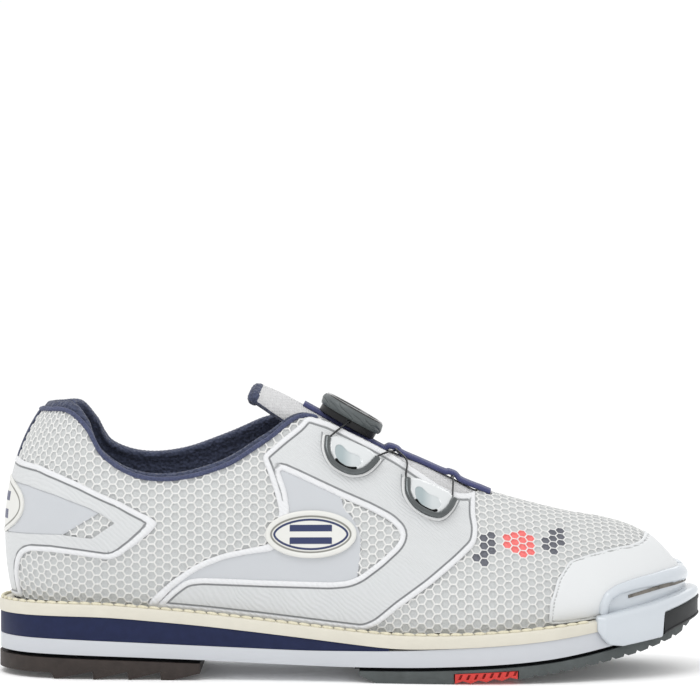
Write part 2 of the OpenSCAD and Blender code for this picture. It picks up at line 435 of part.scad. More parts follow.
// ---- dial: local z = 0 on the strap ----
module at_dial() place() translate(dial_at) rotate([0, dial_tilt, 0]) children();
grip_r = dial_d / 2;
drum_r = grip_r - 1.4;
wall_r = grip_r - 3;
bore_r = wall_r - 1.3;
top = dial_h;
module dial_base() color("#26282b") at_dial() difference() {
    union() {
        difference() {
            union() {
                translate([0, 0, 0.1]) cylinder(r = drum_r, h = 2.7);
                cylinder(r = wall_r, h = 4.6);
            }
            translate([0, 0, 0.9]) cylinder(r = bore_r, h = 4);
        }
        cylinder(r = 1.95, h = 4.4);
        translate([0, 0, 3.9]) linear_extrude(0.7) difference() {
            circle(r = bore_r + 0.2);
            polygon([for (k = [0 : 59]) let (r = k % 2 == 0 ? bore_r - 0.1 : bore_r - 0.45) [r * cos(k * 6), r * sin(k * 6)]]);
        }
    }
    for (s = [-1, 1]) translate([0, s * 7.5, 2]) rotate([-90 * s, 0, 0]) cylinder(r = 1, h = 30);
}
module dial_spool() color("#8f959b") at_dial() difference() {
    union() {
        translate([0, 0, 1.0]) cylinder(r = bore_r - 0.5, h = 0.5);
        translate([0, 0, 1.0]) cylinder(r = 7.4, h = 2.5);
        translate([0, 0, 3.0]) cylinder(r = bore_r - 0.5, h = 0.5);
        translate([0, 0, 3.0]) cylinder(r = 3.5, h = 1.6, $fn = 6);
    }
    translate([0, 0, 0.5]) cylinder(r = 2, h = 5);
}
module dial_pawls() color("#d9dcde") at_dial() difference() {
    translate([0, 0, 3.85]) linear_extrude(0.8) union() {
        circle(r = 7);
        for (a = [0, 120, 240]) rotate(a) polygon([[5, -2.4], [bore_r - 1.6, -2.4], [bore_r - 0.75, 1.6], [6, 2.4]]);
    }
    translate([0, 0, 3]) cylinder(r = 5, h = 3);
}
module dial_core() color("#33373a") at_dial() difference() {
    union() {
        translate([0, 0, 4.9]) cylinder(r = drum_r, h = 1.4);
        translate([0, 0, 3.1]) difference() {
            cylinder(r = drum_r, h = 2);
            translate([0, 0, -1]) cylinder(r = wall_r + 0.15, h = 4);
        }
        translate([0, 0, 3.8]) cylinder(r = 4.8, h = 1.2);
    }
    translate([0, 0, 3]) cylinder(r = 3.6, h = 2, $fn = 6);
}
module dial_grip() color("#4a4f50") at_dial() translate([0, 0, 3]) linear_extrude(top - 3.9) difference() {
    polygon([for (k = [0 : 143]) let (a = k * 2.5, r = grip_r - 0.45 + 0.45 * cos(a * 24)) [r * cos(a), r * sin(a)]]);
    circle(r = drum_r + 0.05);
}
module dial_cap() color("#8f959b") at_dial() rotate_extrude()
    polygon([[0, 6.4], [drum_r - 0.2, 6.4], [drum_r - 0.2, top - 1], [drum_r - 1.4, top - 0.4], [6, top], [0, top]]);

// ---- changeable sole and heel ----
module sole_hook_pad() color("#1c1d1f") place()
    layer(-2.5, lift(base_bot, -gap - hook_t), lift(base_bot, -gap), 2, 147);
module heel_hook_pad() color("#1c1d1f") place()
    layer(-2.5, lift(base_bot, -gap - hook_t), lift(base_bot, -gap), -152, -62);
loop_top = -2 * gap - hook_t;
module sole_loop_pad() color("#2b2c2f") place()
    layer(-2.5, lift(base_bot, loop_top - hook_t), lift(base_bot, loop_top), 4, 147);
module heel_loop_pad() color("#2b2c2f") place()
    layer(-2.5, lift(base_bot, loop_top - hook_t), lift(base_bot, loop_top), -152, -64);
tread_top = loop_top - hook_t - gap;
sole_low = [[4, 3.2], [11, 0], [50, 0], [70, 1.9], [85, 4], [107, 8], [125, 11.6], [143, 17], [151, 22.5]];
insert_cut = [[43.8, -1], [43.8, 4.4], [71.2, 5.8], [71.2, -1]];
module outsole() color("#5b6060") place() difference() {
    intersection() {
        linear_extrude(60 * kz) polygon(outline(-0.2));
        side(concat(sole_low, rev(cut_x(lift(base_bot, tread_top), 4, 151))));
    }
    side(insert_cut, -90, -30 * ky);
}
// Red zig-zag block let into the outer edge
zig = [for (k = [0 : 8]) [44.3 + 3.3 * k, (k % 2 == 0 ? 0.4 : 1.5) + max(0, 44.3 + 3.3 * k - 50) * 0.09]];
module traction_insert() color("#d9534f") place() intersection() {
    linear_extrude(60 * kz) polygon(outline(0.3));
    side(concat(zig, [[70.7, 5.6], [44.3, 4.3]]), -90, -30.2 * ky);
}
module heel_tread() color("#413a38") place() intersection() {
    linear_extrude(60 * kz) polygon(outline(0.3));
    side(concat([[-155, 2.8], [-128, 2.6], [-126.5, 0], [-110, tooth_h], [-109.5, 0], [-95, tooth_h], [-94.5, 0],
        [-81, tooth_h], [-80.5, 0], [-76, 0], [-64, 3]], rev(cut_x(lift(base_bot, tread_top), -155, -64))));
}

midsole_base();
midsole_wedge();
welt();
insole_board();
shank();
sockliner();
heel_counter();
toe_puff();
vamp_mesh();
quarter_mesh();
vamp_lining();
quarter_lining();
collar_foam();
collar_binding();
heel_frame();
heel_badge();
side_frame_lateral();
side_frame_medial();
side_film_lateral();
side_film_medial();
side_badge_lateral();
side_badge_medial();
toe_cap();
toe_guard();
toe_rand();
toe_bumper();
tongue_face();
tongue_foam();
tongue_lining();
tongue_strap();
lace_guide_1l();
lace_guide_2l();
lace_guide_1m();
lace_guide_2m();
lace();
dial_base();
dial_spool();
dial_pawls();
dial_core();
dial_grip();
dial_cap();
sole_hook_pad();
heel_hook_pad();
sole_loop_pad();
outsole();
traction_insert();
heel_loop_pad();
heel_tread();
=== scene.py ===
"""Bowling shoe: the visual model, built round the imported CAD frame."""
import math

import bmesh
import bpy
import numpy as np
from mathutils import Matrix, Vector
from mathutils.geometry import delaunay_2d_cdt
from mathutils.kdtree import KDTree


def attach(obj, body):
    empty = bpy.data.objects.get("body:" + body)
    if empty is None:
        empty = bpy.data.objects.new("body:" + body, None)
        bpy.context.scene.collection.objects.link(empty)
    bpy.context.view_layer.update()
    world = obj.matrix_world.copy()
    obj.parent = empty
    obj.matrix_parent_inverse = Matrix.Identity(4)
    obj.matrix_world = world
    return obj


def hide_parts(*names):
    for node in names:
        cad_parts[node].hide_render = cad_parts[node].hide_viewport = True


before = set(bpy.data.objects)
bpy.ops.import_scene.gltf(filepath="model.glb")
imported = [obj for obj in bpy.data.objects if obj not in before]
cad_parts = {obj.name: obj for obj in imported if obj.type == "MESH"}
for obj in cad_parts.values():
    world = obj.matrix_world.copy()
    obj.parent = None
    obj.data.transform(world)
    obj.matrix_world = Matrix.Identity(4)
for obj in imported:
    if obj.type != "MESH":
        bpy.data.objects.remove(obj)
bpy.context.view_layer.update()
MM = 0.001
OX, OY = 0.0, 1.8            # part.scad moves everything by this, in mm
OVERLAY, MESH_T, FOAM_T = 1.2, 1.2, 3.2
DIAL_TILT = math.radians(29.5)
DIAL_AT = np.array([-1.7, 0, 107.5])
SHIFT = np.array([OX, OY, 0.0])

# ------------------------------------------------------------------ tables, as in part.scad
BASE_BOT = [(-156, 11), (-120, 10.5), (-64, 8.8), (-30, 7.4), (0, 6.6), (30, 6.8), (60, 8), (85, 10), (105, 13.5),
            (125, 18), (140, 22.5), (156, 28)]
BASE_TOP = [(-156, 17.5), (-120, 17), (-64, 14.8), (-20, 13.3), (20, 13.6), (45, 15), (65, 16.2), (85, 18),
            (105, 21), (125, 25), (140, 29), (156, 34)]
WEDGE_TOP = [(-156, 27), (-106, 26.8), (-64, 23.4), (-21, 18.8), (0, 16.4), (20, 14.2)]
WELT_LOW = WEDGE_TOP + [(45, 15), (65, 16.2), (85, 18), (105, 21), (125, 25), (140, 29), (156, 34)]
WELT_TOP = [(-156, 32.4), (-106, 32.2), (-64, 28.8), (-21, 24.2), (0, 21.9), (20, 20.2), (45, 20.4), (65, 21.6),
            (85, 23.4), (105, 25.6), (125, 28.8), (140, 32.2), (156, 36.5)]
PLAN = [(-153, 0), (-149.5, -15), (-138, -27.5), (-118, -34.5), (-90, -36.5), (-60, -38.5), (-30, -41.5), (0, -45.5),
        (30, -49.5), (60, -51.5), (85, -49.5), (105, -44), (122, -36), (137, -25), (146.5, -12), (149.8, 0),
        (146.5, 12), (137, 25), (122, 36), (105, 43), (85, 46.5), (60, 44), (30, 36), (0, 30.5), (-30, 29), (-60, 31),
        (-90, 34), (-118, 34.5), (-138, 27.5), (-149.5, 15)]
OUTER = [
    [(-146.8, 0), (-154, 0, 60), (-149, 0, 95), (-134.5, 0, 114.5)],
    [(-142, -14), (-150, -19, 58), (-146, -15, 93), (-130, -11, 115)],
    [(-130, -25), (-135, -33, 57), (-132, -27, 92), (-121, -20, 114.5)],
    [(-116, -29.5), (-119, -38, 55), (-118, -33, 88), (-113, -25, 107.5)],
    [(-100, -31), (-101, -40, 52), (-102, -36, 78), (-105.5, -29, 95.5)],
    [(-82, -32), (-82, -41, 48), (-84, -38, 70), (-91, -32, 87.2)],
    [(-62, -33), (-62, -42, 46), (-62, -39, 70), (-73, -33, 86.4)],
    [(-42, -34.5), (-41, -43, 45), (-42, -38, 75), (-53, -31.5, 92)],
    [(-24, -37), (-23, -45, 43), (-25, -38, 83), (-36, -28, 102.5)],
    [(-6, -40), (-4, -48, 41), (-7, -37, 90), (-20, -19, 112.5)],
    [(14, -42.5), (16, -50, 38), (12, -37, 82), (0, -16.8, 104.5)],
    [(34, -44.5), (36, -52, 36), (32, -36, 72), (20, -17, 94)],
    [(52, -46), (54, -53, 35), (50, -35, 63), (38, -16, 81.8)],
    [(66, -45.5), (69, -52, 35), (64, -31, 64), (47, -13.5, 78)],
    [(78, -44), (81, -50, 36), (74, -27, 66), (53, -8.5, 78.3)],
    [(88, -41), (91, -47, 37), (77, -21, 73), (56.5, 0, 79.2)],
    [(99, -38.5), (102, -44.5, 39), (91, -19, 70), (76, 0, 74)],
    [(110, -35.5), (113, -41, 40.5), (106, -20, 67), (94, 0, 69.6)],
    [(121, -30.5), (124.5, -35.5, 41.5), (119, -18, 64.5), (110, 0, 66.8)],
    [(131, -24), (135, -27.5, 42), (129, -15.5, 60.5), (123, 0, 63)],
    [(138.5, -16.5), (142.5, -19, 42), (137.5, -12, 54), (132, 0, 57.5)],
    [(143, -8.5), (146.5, -9.5, 41), (143.5, -6.5, 47), (138, 0, 50.5)],
    [(144.6, 0), (147.5, 0, 37), (147, 0, 41), (142.5, 0, 44.5)],
]


def across(row):
    return [(p[0], -p[1]) + p[2:] for p in row]


INNER = [
    OUTER[0], across(OUTER[1]), across(OUTER[2]),
    [(-116, 29.5), (-119, 38, 55), (-118, 33, 88), (-113, 25, 107)],
    [(-100, 30), (-101, 39, 52), (-102, 36, 80), (-105.5, 29, 97)],
    [(-82, 28.5), (-82, 38, 49), (-84, 37, 74), (-91, 32, 92)],
    [(-62, 26.5), (-62, 36, 48), (-62, 37, 76), (-73, 33, 93.5)],
    [(-42, 25), (-41, 35, 47), (-42, 36, 80), (-53, 31, 100.5)],
    [(-24, 24.5), (-23, 34, 46), (-25, 35, 86), (-36, 27, 108)],
    [(-6, 25), (-4, 36, 44), (-7, 34, 90), (-20, 19, 112.5)],
    [(14, 28), (16, 39, 42), (12, 34, 82), (0, 16.8, 104.5)],
    [(34, 31.5), (36, 43, 40), (32, 33, 72), (20, 17, 94)],
    [(52, 36.5), (54, 46, 38), (50, 33, 64), (38, 16, 81.8)],
    [(66, 39.5), (69, 48, 38), (64, 30, 65), (47, 13.5, 78)],
    [(78, 41), (81, 48.5, 38), (74, 26, 67), (53, 8.5, 78.3)],
    [(88, 40), (91, 47, 39), (77, 21, 73), (56.5, 0, 79.2)],
    [(99, 38.5), (102, 44.5, 40), (91, 19, 70), (76, 0, 74)],
    [(110, 35.5), (113, 41, 41), (106, 20, 67), (94, 0, 69.6)],
    [(121, 30.5), (124.5, 35.5, 42), (119, 18, 64.5), (110, 0, 66.8)],
    across(OUTER[19]), across(OUTER[20]), across(OUTER[21]), OUTER[22],
]
LAST = 22                    # the toe's place in u
RN = 2 * LAST                # u once round the shoe
MESH_EDGE = 0.985            # the highest t at which a direction is taken


def tab(table, x):
    return np.interp(x, [p[0] for p in table], [p[1] for p in table])


def skew(x):
    return np.where(x > 40, 0.0004 * (x - 40) ** 2, 0.0)


def full(row):
    return [(row[0][0], row[0][1], tab(WELT_TOP, row[0][0]) + 0.3), row[1], row[2], row[3]]


RING = np.array([full(r) for r in OUTER] + [full(INNER[i]) for i in range(LAST - 1, 0, -1)], float)


def cr(a, b, c, d, f):
    return 0.5 * (2 * b + (c - a) * f + (2 * a - 5 * b + 4 * c - d) * f * f + (3 * b - a - 3 * c + d) * f ** 3)


def curve_at(points, u, closed=False):
    """Points at places u on a smooth curve through given points, which lie at 0, 1, 2 and so on."""
    p = np.array(points, float)
    m = len(p)
    i = np.floor(u).astype(int)
    a, b, c, d = (p[(i + k) % m if closed else np.clip(i + k, 0, m - 1)] for k in (-1, 0, 1, 2))
    return cr(a, b, c, d, (u - i)[:, None])


def through(points, n, closed=True):
    """n points on that curve."""
    m = len(points)
    return curve_at(points, np.linspace(0, m, n, endpoint=False) if closed else np.linspace(0, m - 1, n), closed)


def surf(u, t):
    """The upper's outer surface, in mm: u runs heel, outer side, toe (22), inner side; t from sole to top."""
    u = np.asarray(u, float)
    t = np.asarray(t, float)
    i = np.floor(u).astype(int)
    f = (u - i)[:, None, None]
    q = cr(RING[(i - 1) % RN], RING[i % RN], RING[(i + 1) % RN], RING[(i + 2) % RN], f)
    w = np.mod(u, RN)
    q[..., 1] = np.where((w <= LAST)[:, None], np.minimum(q[..., 1], 0), np.maximum(q[..., 1], 0))
    s = 1 - t
    p = (q[:, 0] * (s ** 3)[:, None] + q[:, 1] * (3 * t * s * s)[:, None] + q[:, 2] * (3 * t * t * s)[:, None]
         + q[:, 3] * (t ** 3)[:, None])
    p[:, 1] += skew(p[:, 0])
    return p


def normal(u, t):
    u = np.asarray(u, float)
    t = np.asarray(t, float)
    s = np.minimum(t, MESH_EDGE)
    a = surf(u + 0.06, s) - surf(u - 0.06, s)
    b = surf(u, np.minimum(1, t + 0.02)) - surf(u, np.maximum(t - 0.02, 0))
    n = np.cross(a, b)
    n /= np.linalg.norm(n, axis=1)[:, None]
    w = np.mod(u, RN)
    k = np.clip((t - 0.965) / 0.035, 0, 1) * ((w > 14.9) & (w < 29.1))
    n[:, 1] *= 1 - k
    return n / np.linalg.norm(n, axis=1)[:, None]


def off(u, t, d):
    """A point d mm outside the upper, in mm."""
    return surf(u, t) + normal(u, t) * np.asarray(d, float).reshape(-1, 1)


# ------------------------------------------------------------------ mesh helpers
def add(name, verts, faces, mats, face_mat=None, smooth=True, tone=None):
    """A mesh from points in mm. face_mat: each face's material. tone: each point's colour."""
    me = bpy.data.meshes.new(name)
    v = (np.asarray(verts, float) + SHIFT) * MM
    me.from_pydata(v.tolist(), [], [tuple(int(i) for i in f) for f in faces])
    for m in mats if isinstance(mats, (list, tuple)) else [mats]:
        me.materials.append(m)
    if face_mat is not None:
        me.polygons.foreach_set("material_index", np.asarray(face_mat, np.int32))
    if tone is not None:
        at = me.attributes.new("tone", "FLOAT", "POINT")
        at.data.foreach_set("value", np.asarray(tone, np.float32))
    me.polygons.foreach_set("use_smooth", [smooth] * len(me.polygons))
    me.validate()
    me.update()
    o = bpy.data.objects.new(name, me)
    bpy.context.scene.collection.objects.link(o)
    return o


def piece(o, body, nodes=()):
    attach(o, body)
    if nodes:
        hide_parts(*nodes)
    return o


def weld(o, merge=True):
    """The mesh with its normals pointing out and, unless merge is off, its doubled points joined."""
    bm = bmesh.new()
    bm.from_mesh(o.data)
    if merge:
        bmesh.ops.remove_doubles(bm, verts=bm.verts, dist=2e-6)
    bmesh.ops.recalc_face_normals(bm, faces=bm.faces)
    bm.to_mesh(o.data)
    bm.free()
    return o


def crease(o, angle=40):
    """Sharp edges stay sharp where faces meet at more than this angle."""
    o.data.set_sharp_from_angle(angle=math.radians(angle))
    return o


def grid_faces(n, m, wrap_n=False, wrap_m=False):
    """Quads of an n by m grid of points."""
    out = []
    for i in range(n if wrap_n else n - 1):
        for j in range(m if wrap_m else m - 1):
            a, b = i * m + j, ((i + 1) % n) * m + j
            c, d = ((i + 1) % n) * m + (j + 1) % m, i * m + (j + 1) % m
            out.append((a, b, c, d))
    return out


def sweep(name, co, mats, face_mat=None, smooth=True):
    """A closed section carried along a path: co[i][j] is point j of section i. Both ends are closed."""
    n, m = co.shape[:2]
    faces = grid_faces(n, m, False, True) + [tuple(range(m))[::-1], tuple((n - 1) * m + j for j in range(m))]
    return weld(add(name, co.reshape(-1, 3), faces, mats, face_mat, smooth))


# ------------------------------------------------------------------ flat patterns on the upper
class Chart:
    """Turns flat pattern coordinates in mm into u, t of the upper."""

    def __init__(self, flat, u0, u1):
        self.flat = flat
        self.range = (u0, u1)
        u, t = np.meshgrid(np.arange(u0, u1 + 0.01, 0.1), np.linspace(0, 1, 51), indexing="ij")
        self.ut = np.stack([u.ravel(), t.ravel()], 1)
        at = flat(surf(self.ut[:, 0], self.ut[:, 1]))
        self.tree = KDTree(len(at))
        for i, p in enumerate(at):
            self.tree.insert((p[0], p[1], 0), i)
        self.tree.balance()

    def find(self, ab):
        ab = np.asarray(ab, float)
        ut = self.ut[[self.tree.find((p[0], p[1], 0))[1] for p in ab]].copy()
        for _ in range(6):
            u, t = ut[:, 0], ut[:, 1]
            k = np.where(t > 0.99, -0.005, 0.005)
            p = self.flat(surf(u, t))
            a = (self.flat(surf(u + 0.02, t)) - p) / 0.02
            b = (self.flat(surf(u, t + k)) - p) / k[:, None]
            e = ab - p
            det = a[:, 0] * b[:, 1] - b[:, 0] * a[:, 1]
            det = np.where(np.abs(det) < 1e-6, 1e-6, det)
            du = (e[:, 0] * b[:, 1] - b[:, 0] * e[:, 1]) / det
            dt = (a[:, 0] * e[:, 1] - e[:, 0] * a[:, 1]) / det
            ut[:, 0] = np.clip(u + np.clip(du, -0.3, 0.3), *self.range)
            ut[:, 1] = np.clip(t + np.clip(dt, -0.06, 0.06), 0, 1)
        return ut

    def lay(self, ab, d):
        ut = self.find(ab)
        return off(ut[:, 0], ut[:, 1], d)


def from_side(p):
    return p[:, [0, 2]]


def from_back(p):
    return np.stack([np.arctan2(p[:, 1], -(p[:, 0] + 112)) * 36, p[:, 2]], 1)


TOE_AXIS = np.array([0.75, 0, 0.66]) / math.hypot(0.75, 0.66)
TOE_UP = np.array([-0.66, 0, 0.75]) / math.hypot(0.75, 0.66)


def from_toe(p):
    v = p - (95, 0, 22)
    v = v / np.linalg.norm(v, axis=1)[:, None]
    th = np.arccos(np.clip(v @ TOE_AXIS, -1, 1)) * 45
    a, b = v[:, 1], v @ TOE_UP
    r = np.hypot(a, b) + 1e-9
    return np.stack([th * a / r, th * b / r], 1)


def from_top(p):
    return np.stack([p[:, 0], np.arctan2(p[:, 1], p[:, 2] - 26) * 44], 1)


OUT = Chart(from_side, 0, 22)
INN = Chart(from_side, 22, 44)
BACK = Chart(from_back, -9, 9)
TOE = Chart(from_toe, 13, 31)


def side_chart(s):
    return OUT if s < 0 else INN


def flip(u, s):
    return u if s < 0 else RN - u


def edge(u0, u1, t, n, s):
    """Points of the upper's own edge, as seen from the side."""
    return [tuple(p) for p in from_side(surf(flip(np.linspace(u0, u1, n), s), np.full(n, t)))]


def mirrored(near):
    """Pattern points of one side and then, going back, of the other."""
    return near + [(-a, b) for a, b in near[::-1]]


def rounded(loop, r=2.5):
    """A closed outline with its corners turned into short arcs."""
    p = np.array(loop, float)
    p = p[np.linalg.norm(p - np.roll(p, 1, axis=0), axis=1) > 0.05]
    out = []
    for i in range(len(p)):
        a, b, c = p[i - 1], p[i], p[(i + 1) % len(p)]
        la, lc = np.linalg.norm(a - b), np.linalg.norm(c - b)
        ra, rc = min(r, 0.48 * la), min(r, 0.48 * lc)
        s, e = b + (a - b) / la * ra, b + (c - b) / lc * rc
        for f in (0, 0.25, 0.5, 0.75, 1.0):
            out.append((1 - f) ** 2 * s + 2 * f * (1 - f) * b + f * f * e)
    return np.array(out)


def resample(loop, step):
    p = np.vstack([loop, loop[:1]])
    d = np.r_[0, np.cumsum(np.linalg.norm(np.diff(p, axis=0), axis=1))]
    n = max(8, int(round(d[-1] / step)))
    s = np.linspace(0, d[-1], n, endpoint=False)
    return np.stack([np.interp(s, d, p[:, 0]), np.interp(s, d, p[:, 1])], 1)


def area2(loop):
    x, y = loop[:, 0], loop[:, 1]
    return np.sum(x * np.roll(y, -1) - np.roll(x, -1) * y)


def distance(pts, loops):
    """Distance from each point to the nearest outline, and whether it is inside them."""
    best = np.full(len(pts), 1e9)
    inside = np.zeros(len(pts), bool)
    for loop in loops:
        a, b = loop, np.roll(loop, -1, axis=0)
        ab = b - a
        for i in range(0, len(pts), 4000):
            q = pts[i:i + 4000, None, :]
            f = np.clip(((q - a) * ab).sum(2) / np.maximum((ab ** 2).sum(1), 1e-12), 0, 1)
            best[i:i + 4000] = np.minimum(best[i:i + 4000], np.linalg.norm(q - (a + f[..., None] * ab), axis=2).min(1))
            y = q[..., 1]
            cross = (a[:, 1] > y) != (b[:, 1] > y)
            x = a[:, 0] + (y - a[:, 1]) / np.where(np.abs(ab[:, 1]) < 1e-12, 1e-12, ab[:, 1]) * ab[:, 0]
            inside[i:i + 4000] ^= (np.sum(cross & (q[..., 0] < x), axis=1) % 2).astype(bool)
    return best, inside


def line_distance(c, line):
    """Distance of each point from an open line."""
    a, ab = line[:-1], line[1:] - line[:-1]
    q = c[:, None, :]
    f = np.clip(((q - a) * ab).sum(2) / (ab ** 2).sum(1), 0, 1)
    return np.linalg.norm(q - (a + f[..., None] * ab), axis=2).min(1)


EDGE_SLACK = 0.04            # how much nearer an edge than its row a point may lie
LINE_PAIR = 0.07             # how far either side of an inner outline its paired points lie


def panel(name, loops, chart, height, rows, mats, step=1.1, grid=2.4, low=-0.1, tone=None, r=2.5, lines=()):
    """A moulded skin laid on the upper: its height over the upper follows the distance from its edge."""
    loops = [resample(rounded(x, r), step) for x in loops]
    pts, edges, base = list(loops), [], 0
    for x in loops:
        n = len(x)
        edges += [(base + i, base + (i + 1) % n) for i in range(n)]
        base += n

    def beside(x, d, least):
        """The points at distance d beside an outline, where they are far enough from every edge."""
        t = np.roll(x, -1, axis=0) - np.roll(x, 1, axis=0)
        q = x + np.stack([-t[:, 1], t[:, 0]], 1) / np.linalg.norm(t, axis=1)[:, None] * d
        dist, inside = distance(q, loops)
        pts.append(q[inside & (dist > least)])

    for d in rows:
        for k, x in enumerate(loops):
            beside(x, d * (1 if area2(x) > 0 else -1) * (1 if k == 0 else -1), d - EDGE_SLACK)
    for x in lines:
        x = resample(np.array(x), step * 0.6)
        for d in (-LINE_PAIR, LINE_PAIR):
            beside(x, d, 0.05)
    lo, hi = loops[0].min(0), loops[0].max(0)
    gx, gy = np.meshgrid(np.arange(lo[0], hi[0], grid), np.arange(lo[1], hi[1], grid))
    gx[1::2] += grid / 2
    g = np.stack([gx.ravel(), gy.ravel()], 1)
    dist, inside = distance(g, loops)
    keep = inside & (dist > rows[-1] + grid * 0.4)
    if lines:
        keep &= distance(g, [np.array(x) for x in lines])[0] > 0.22
    pts.append(g[keep])
    co, _, tri, *_ = delaunay_2d_cdt([Vector(p) for p in np.vstack(pts)], edges, [], 0, 1e-4)
    co = np.array([tuple(c) for c in co])
    tri = np.array([f for f in tri if len(f) == 3])
    tri = tri[distance(co[tri].mean(1), loops)[1]]
    used = np.unique(tri)
    remap = np.full(len(co), -1)
    remap[used] = np.arange(len(used))
    co, tri = co[used], remap[tri]
    dist = distance(co, loops)[0]
    top = chart.lay(co, height(dist, co))
    sides = dict.fromkeys((f[k], f[(k + 1) % 3]) for f in tri for k in range(3))
    rim = [e for e in sides if (e[1], e[0]) not in sides]
    rim_v = sorted({a for e in rim for a in e})
    idx = {v: len(co) + i for i, v in enumerate(rim_v)}
    foot = chart.lay(co[rim_v], low)
    faces = [tuple(f) for f in tri] + [(e[1], e[0], idx[e[0]], idx[e[1]]) for e in rim]
    none = np.zeros(len(rim_v))
    tones = tone(dist, co) if tone is not None else np.zeros(len(co))
    return weld(add(name, np.vstack([top, foot]), faces, mats, tone=np.r_[tones, none]))


# ------------------------------------------------------------------ honeycomb mesh
HEX_R = 2.24                 # a cell's radius; below, (share of it, height) from the rim inward
HEX_RINGS = ((1.0, 0.34), (0.87, 0.30), (0.80, 0.02), (0.73, -0.32), (0.40, -0.42))


def arc_table(u0, u1, t, n):
    """Arc length along the upper at height t, from u = 0."""
    u = np.linspace(u0, u1, n)
    p = surf(u, np.full(n, t))
    d = np.r_[0, np.cumsum(np.linalg.norm(np.diff(p, axis=0), axis=1))]
    return u, d - np.interp(0, u, d)


def from_wall(p):
    """Quarter pattern: length round the shoe, straight along the sides and bent round the heel; and height."""
    x = p[:, 0] + 112
    side = np.where(p[:, 1] <= 0, 1.0, -1.0)
    bend = 36 * np.arctan2(np.abs(p[:, 1]), -np.minimum(x, 0) + 1e-9)
    return np.stack([side * (bend + np.maximum(x, 0)), p[:, 2]], 1)


WALL = Chart(from_wall, -12.6, 12.6)
TOP = Chart(from_top, 8.5, 35.5)


def hex_centres(a0, a1, b0, b1):
    dx, dy = 1.5 * HEX_R, math.sqrt(3) * HEX_R
    return np.array([(i * dx, j * dy + (dy / 2 if i % 2 else 0))
                     for i in range(math.floor(a0 / dx), math.ceil(a1 / dx) + 1)
                     for j in range(math.floor(b0 / dy) - 1, math.ceil(b1 / dy) + 1)])


def honeycomb(chart, centres, print_of=None):
    """Raised rims and sunk cells; neighbouring cells share their rim."""
    ring = []
    for k in range(12):
        a = math.radians(30 * k)
        r = HEX_R if k % 2 == 0 else HEX_R * math.cos(math.radians(30))
        ring.append((r * math.cos(a), r * math.sin(a)))
    ring = np.array(ring)
    flat, height, tone, faces, inks = [], [], [], [], []
    seen = {}

    def vert(p, h, kind, shared):
        key = (round(p[0] * 50), round(p[1] * 50)) if shared else None
        if shared and key in seen:
            return seen[key]
        flat.append(p)
        height.append(h)
        tone.append(kind)
        if shared:
            seen[key] = len(flat) - 1
        return len(flat) - 1

    for c in centres:
        ink = 0 if print_of is None else print_of(c)
        rings = []
        for n, (scale, h) in enumerate(HEX_RINGS):
            rings.append([vert(c + ring[k] * scale, h, 0 if n < 2 else 1, n == 0) for k in range(12)])
        mid = vert(c, -0.44, 1, False)
        for n, (a, b) in enumerate(zip(rings, rings[1:])):
            faces += [(a[k], a[(k + 1) % 12], b[(k + 1) % 12], b[k]) for k in range(12)]
            inks += [ink if n > 0 else 0] * 12
        faces += [(rings[-1][k], rings[-1][(k + 1) % 12], mid) for k in range(12)]
        inks += [ink] * 12
    flat = np.array(flat)
    ut = chart.find(flat)
    co = off(ut[:, 0], ut[:, 1], np.array(height))
    keep = []
    for f, ink in zip(faces, inks):
        q = co[list(f)]
        if np.linalg.norm(np.cross(q[1] - q[0], q[2] - q[0])) > 1e-3:
            keep.append((f, ink))
    return co, [f for f, _ in keep], np.array(tone, float), [ink for _, ink in keep]


def base_skin(u0, u1, n):
    """A plain skin a little under the upper's surface, n steps long and as high as the upper."""
    u, t = np.meshgrid(np.linspace(u0, u1, n + 1), np.linspace(0, 1, 25), indexing="ij")
    return off(u.ravel(), t.ravel(), -0.6), grid_faces(n + 1, 25)


def with_base(cells, base):
    """The cells with a plain skin under them, as one mesh."""
    v, f, tone, inks = cells
    bv, bf = base
    n = len(v)
    return (np.vstack([v, bv]), f + [tuple(i + n for i in x) for x in bf], np.r_[tone, np.ones(len(bv))],
            inks + [0] * len(bf))


# ------------------------------------------------------------------ materials
def srgb(h):
    v = [int(h[i:i + 2], 16) / 255 for i in (1, 3, 5)]
    return [x / 12.92 if x <= 0.04045 else ((x + 0.055) / 1.055) ** 2.4 for x in v]


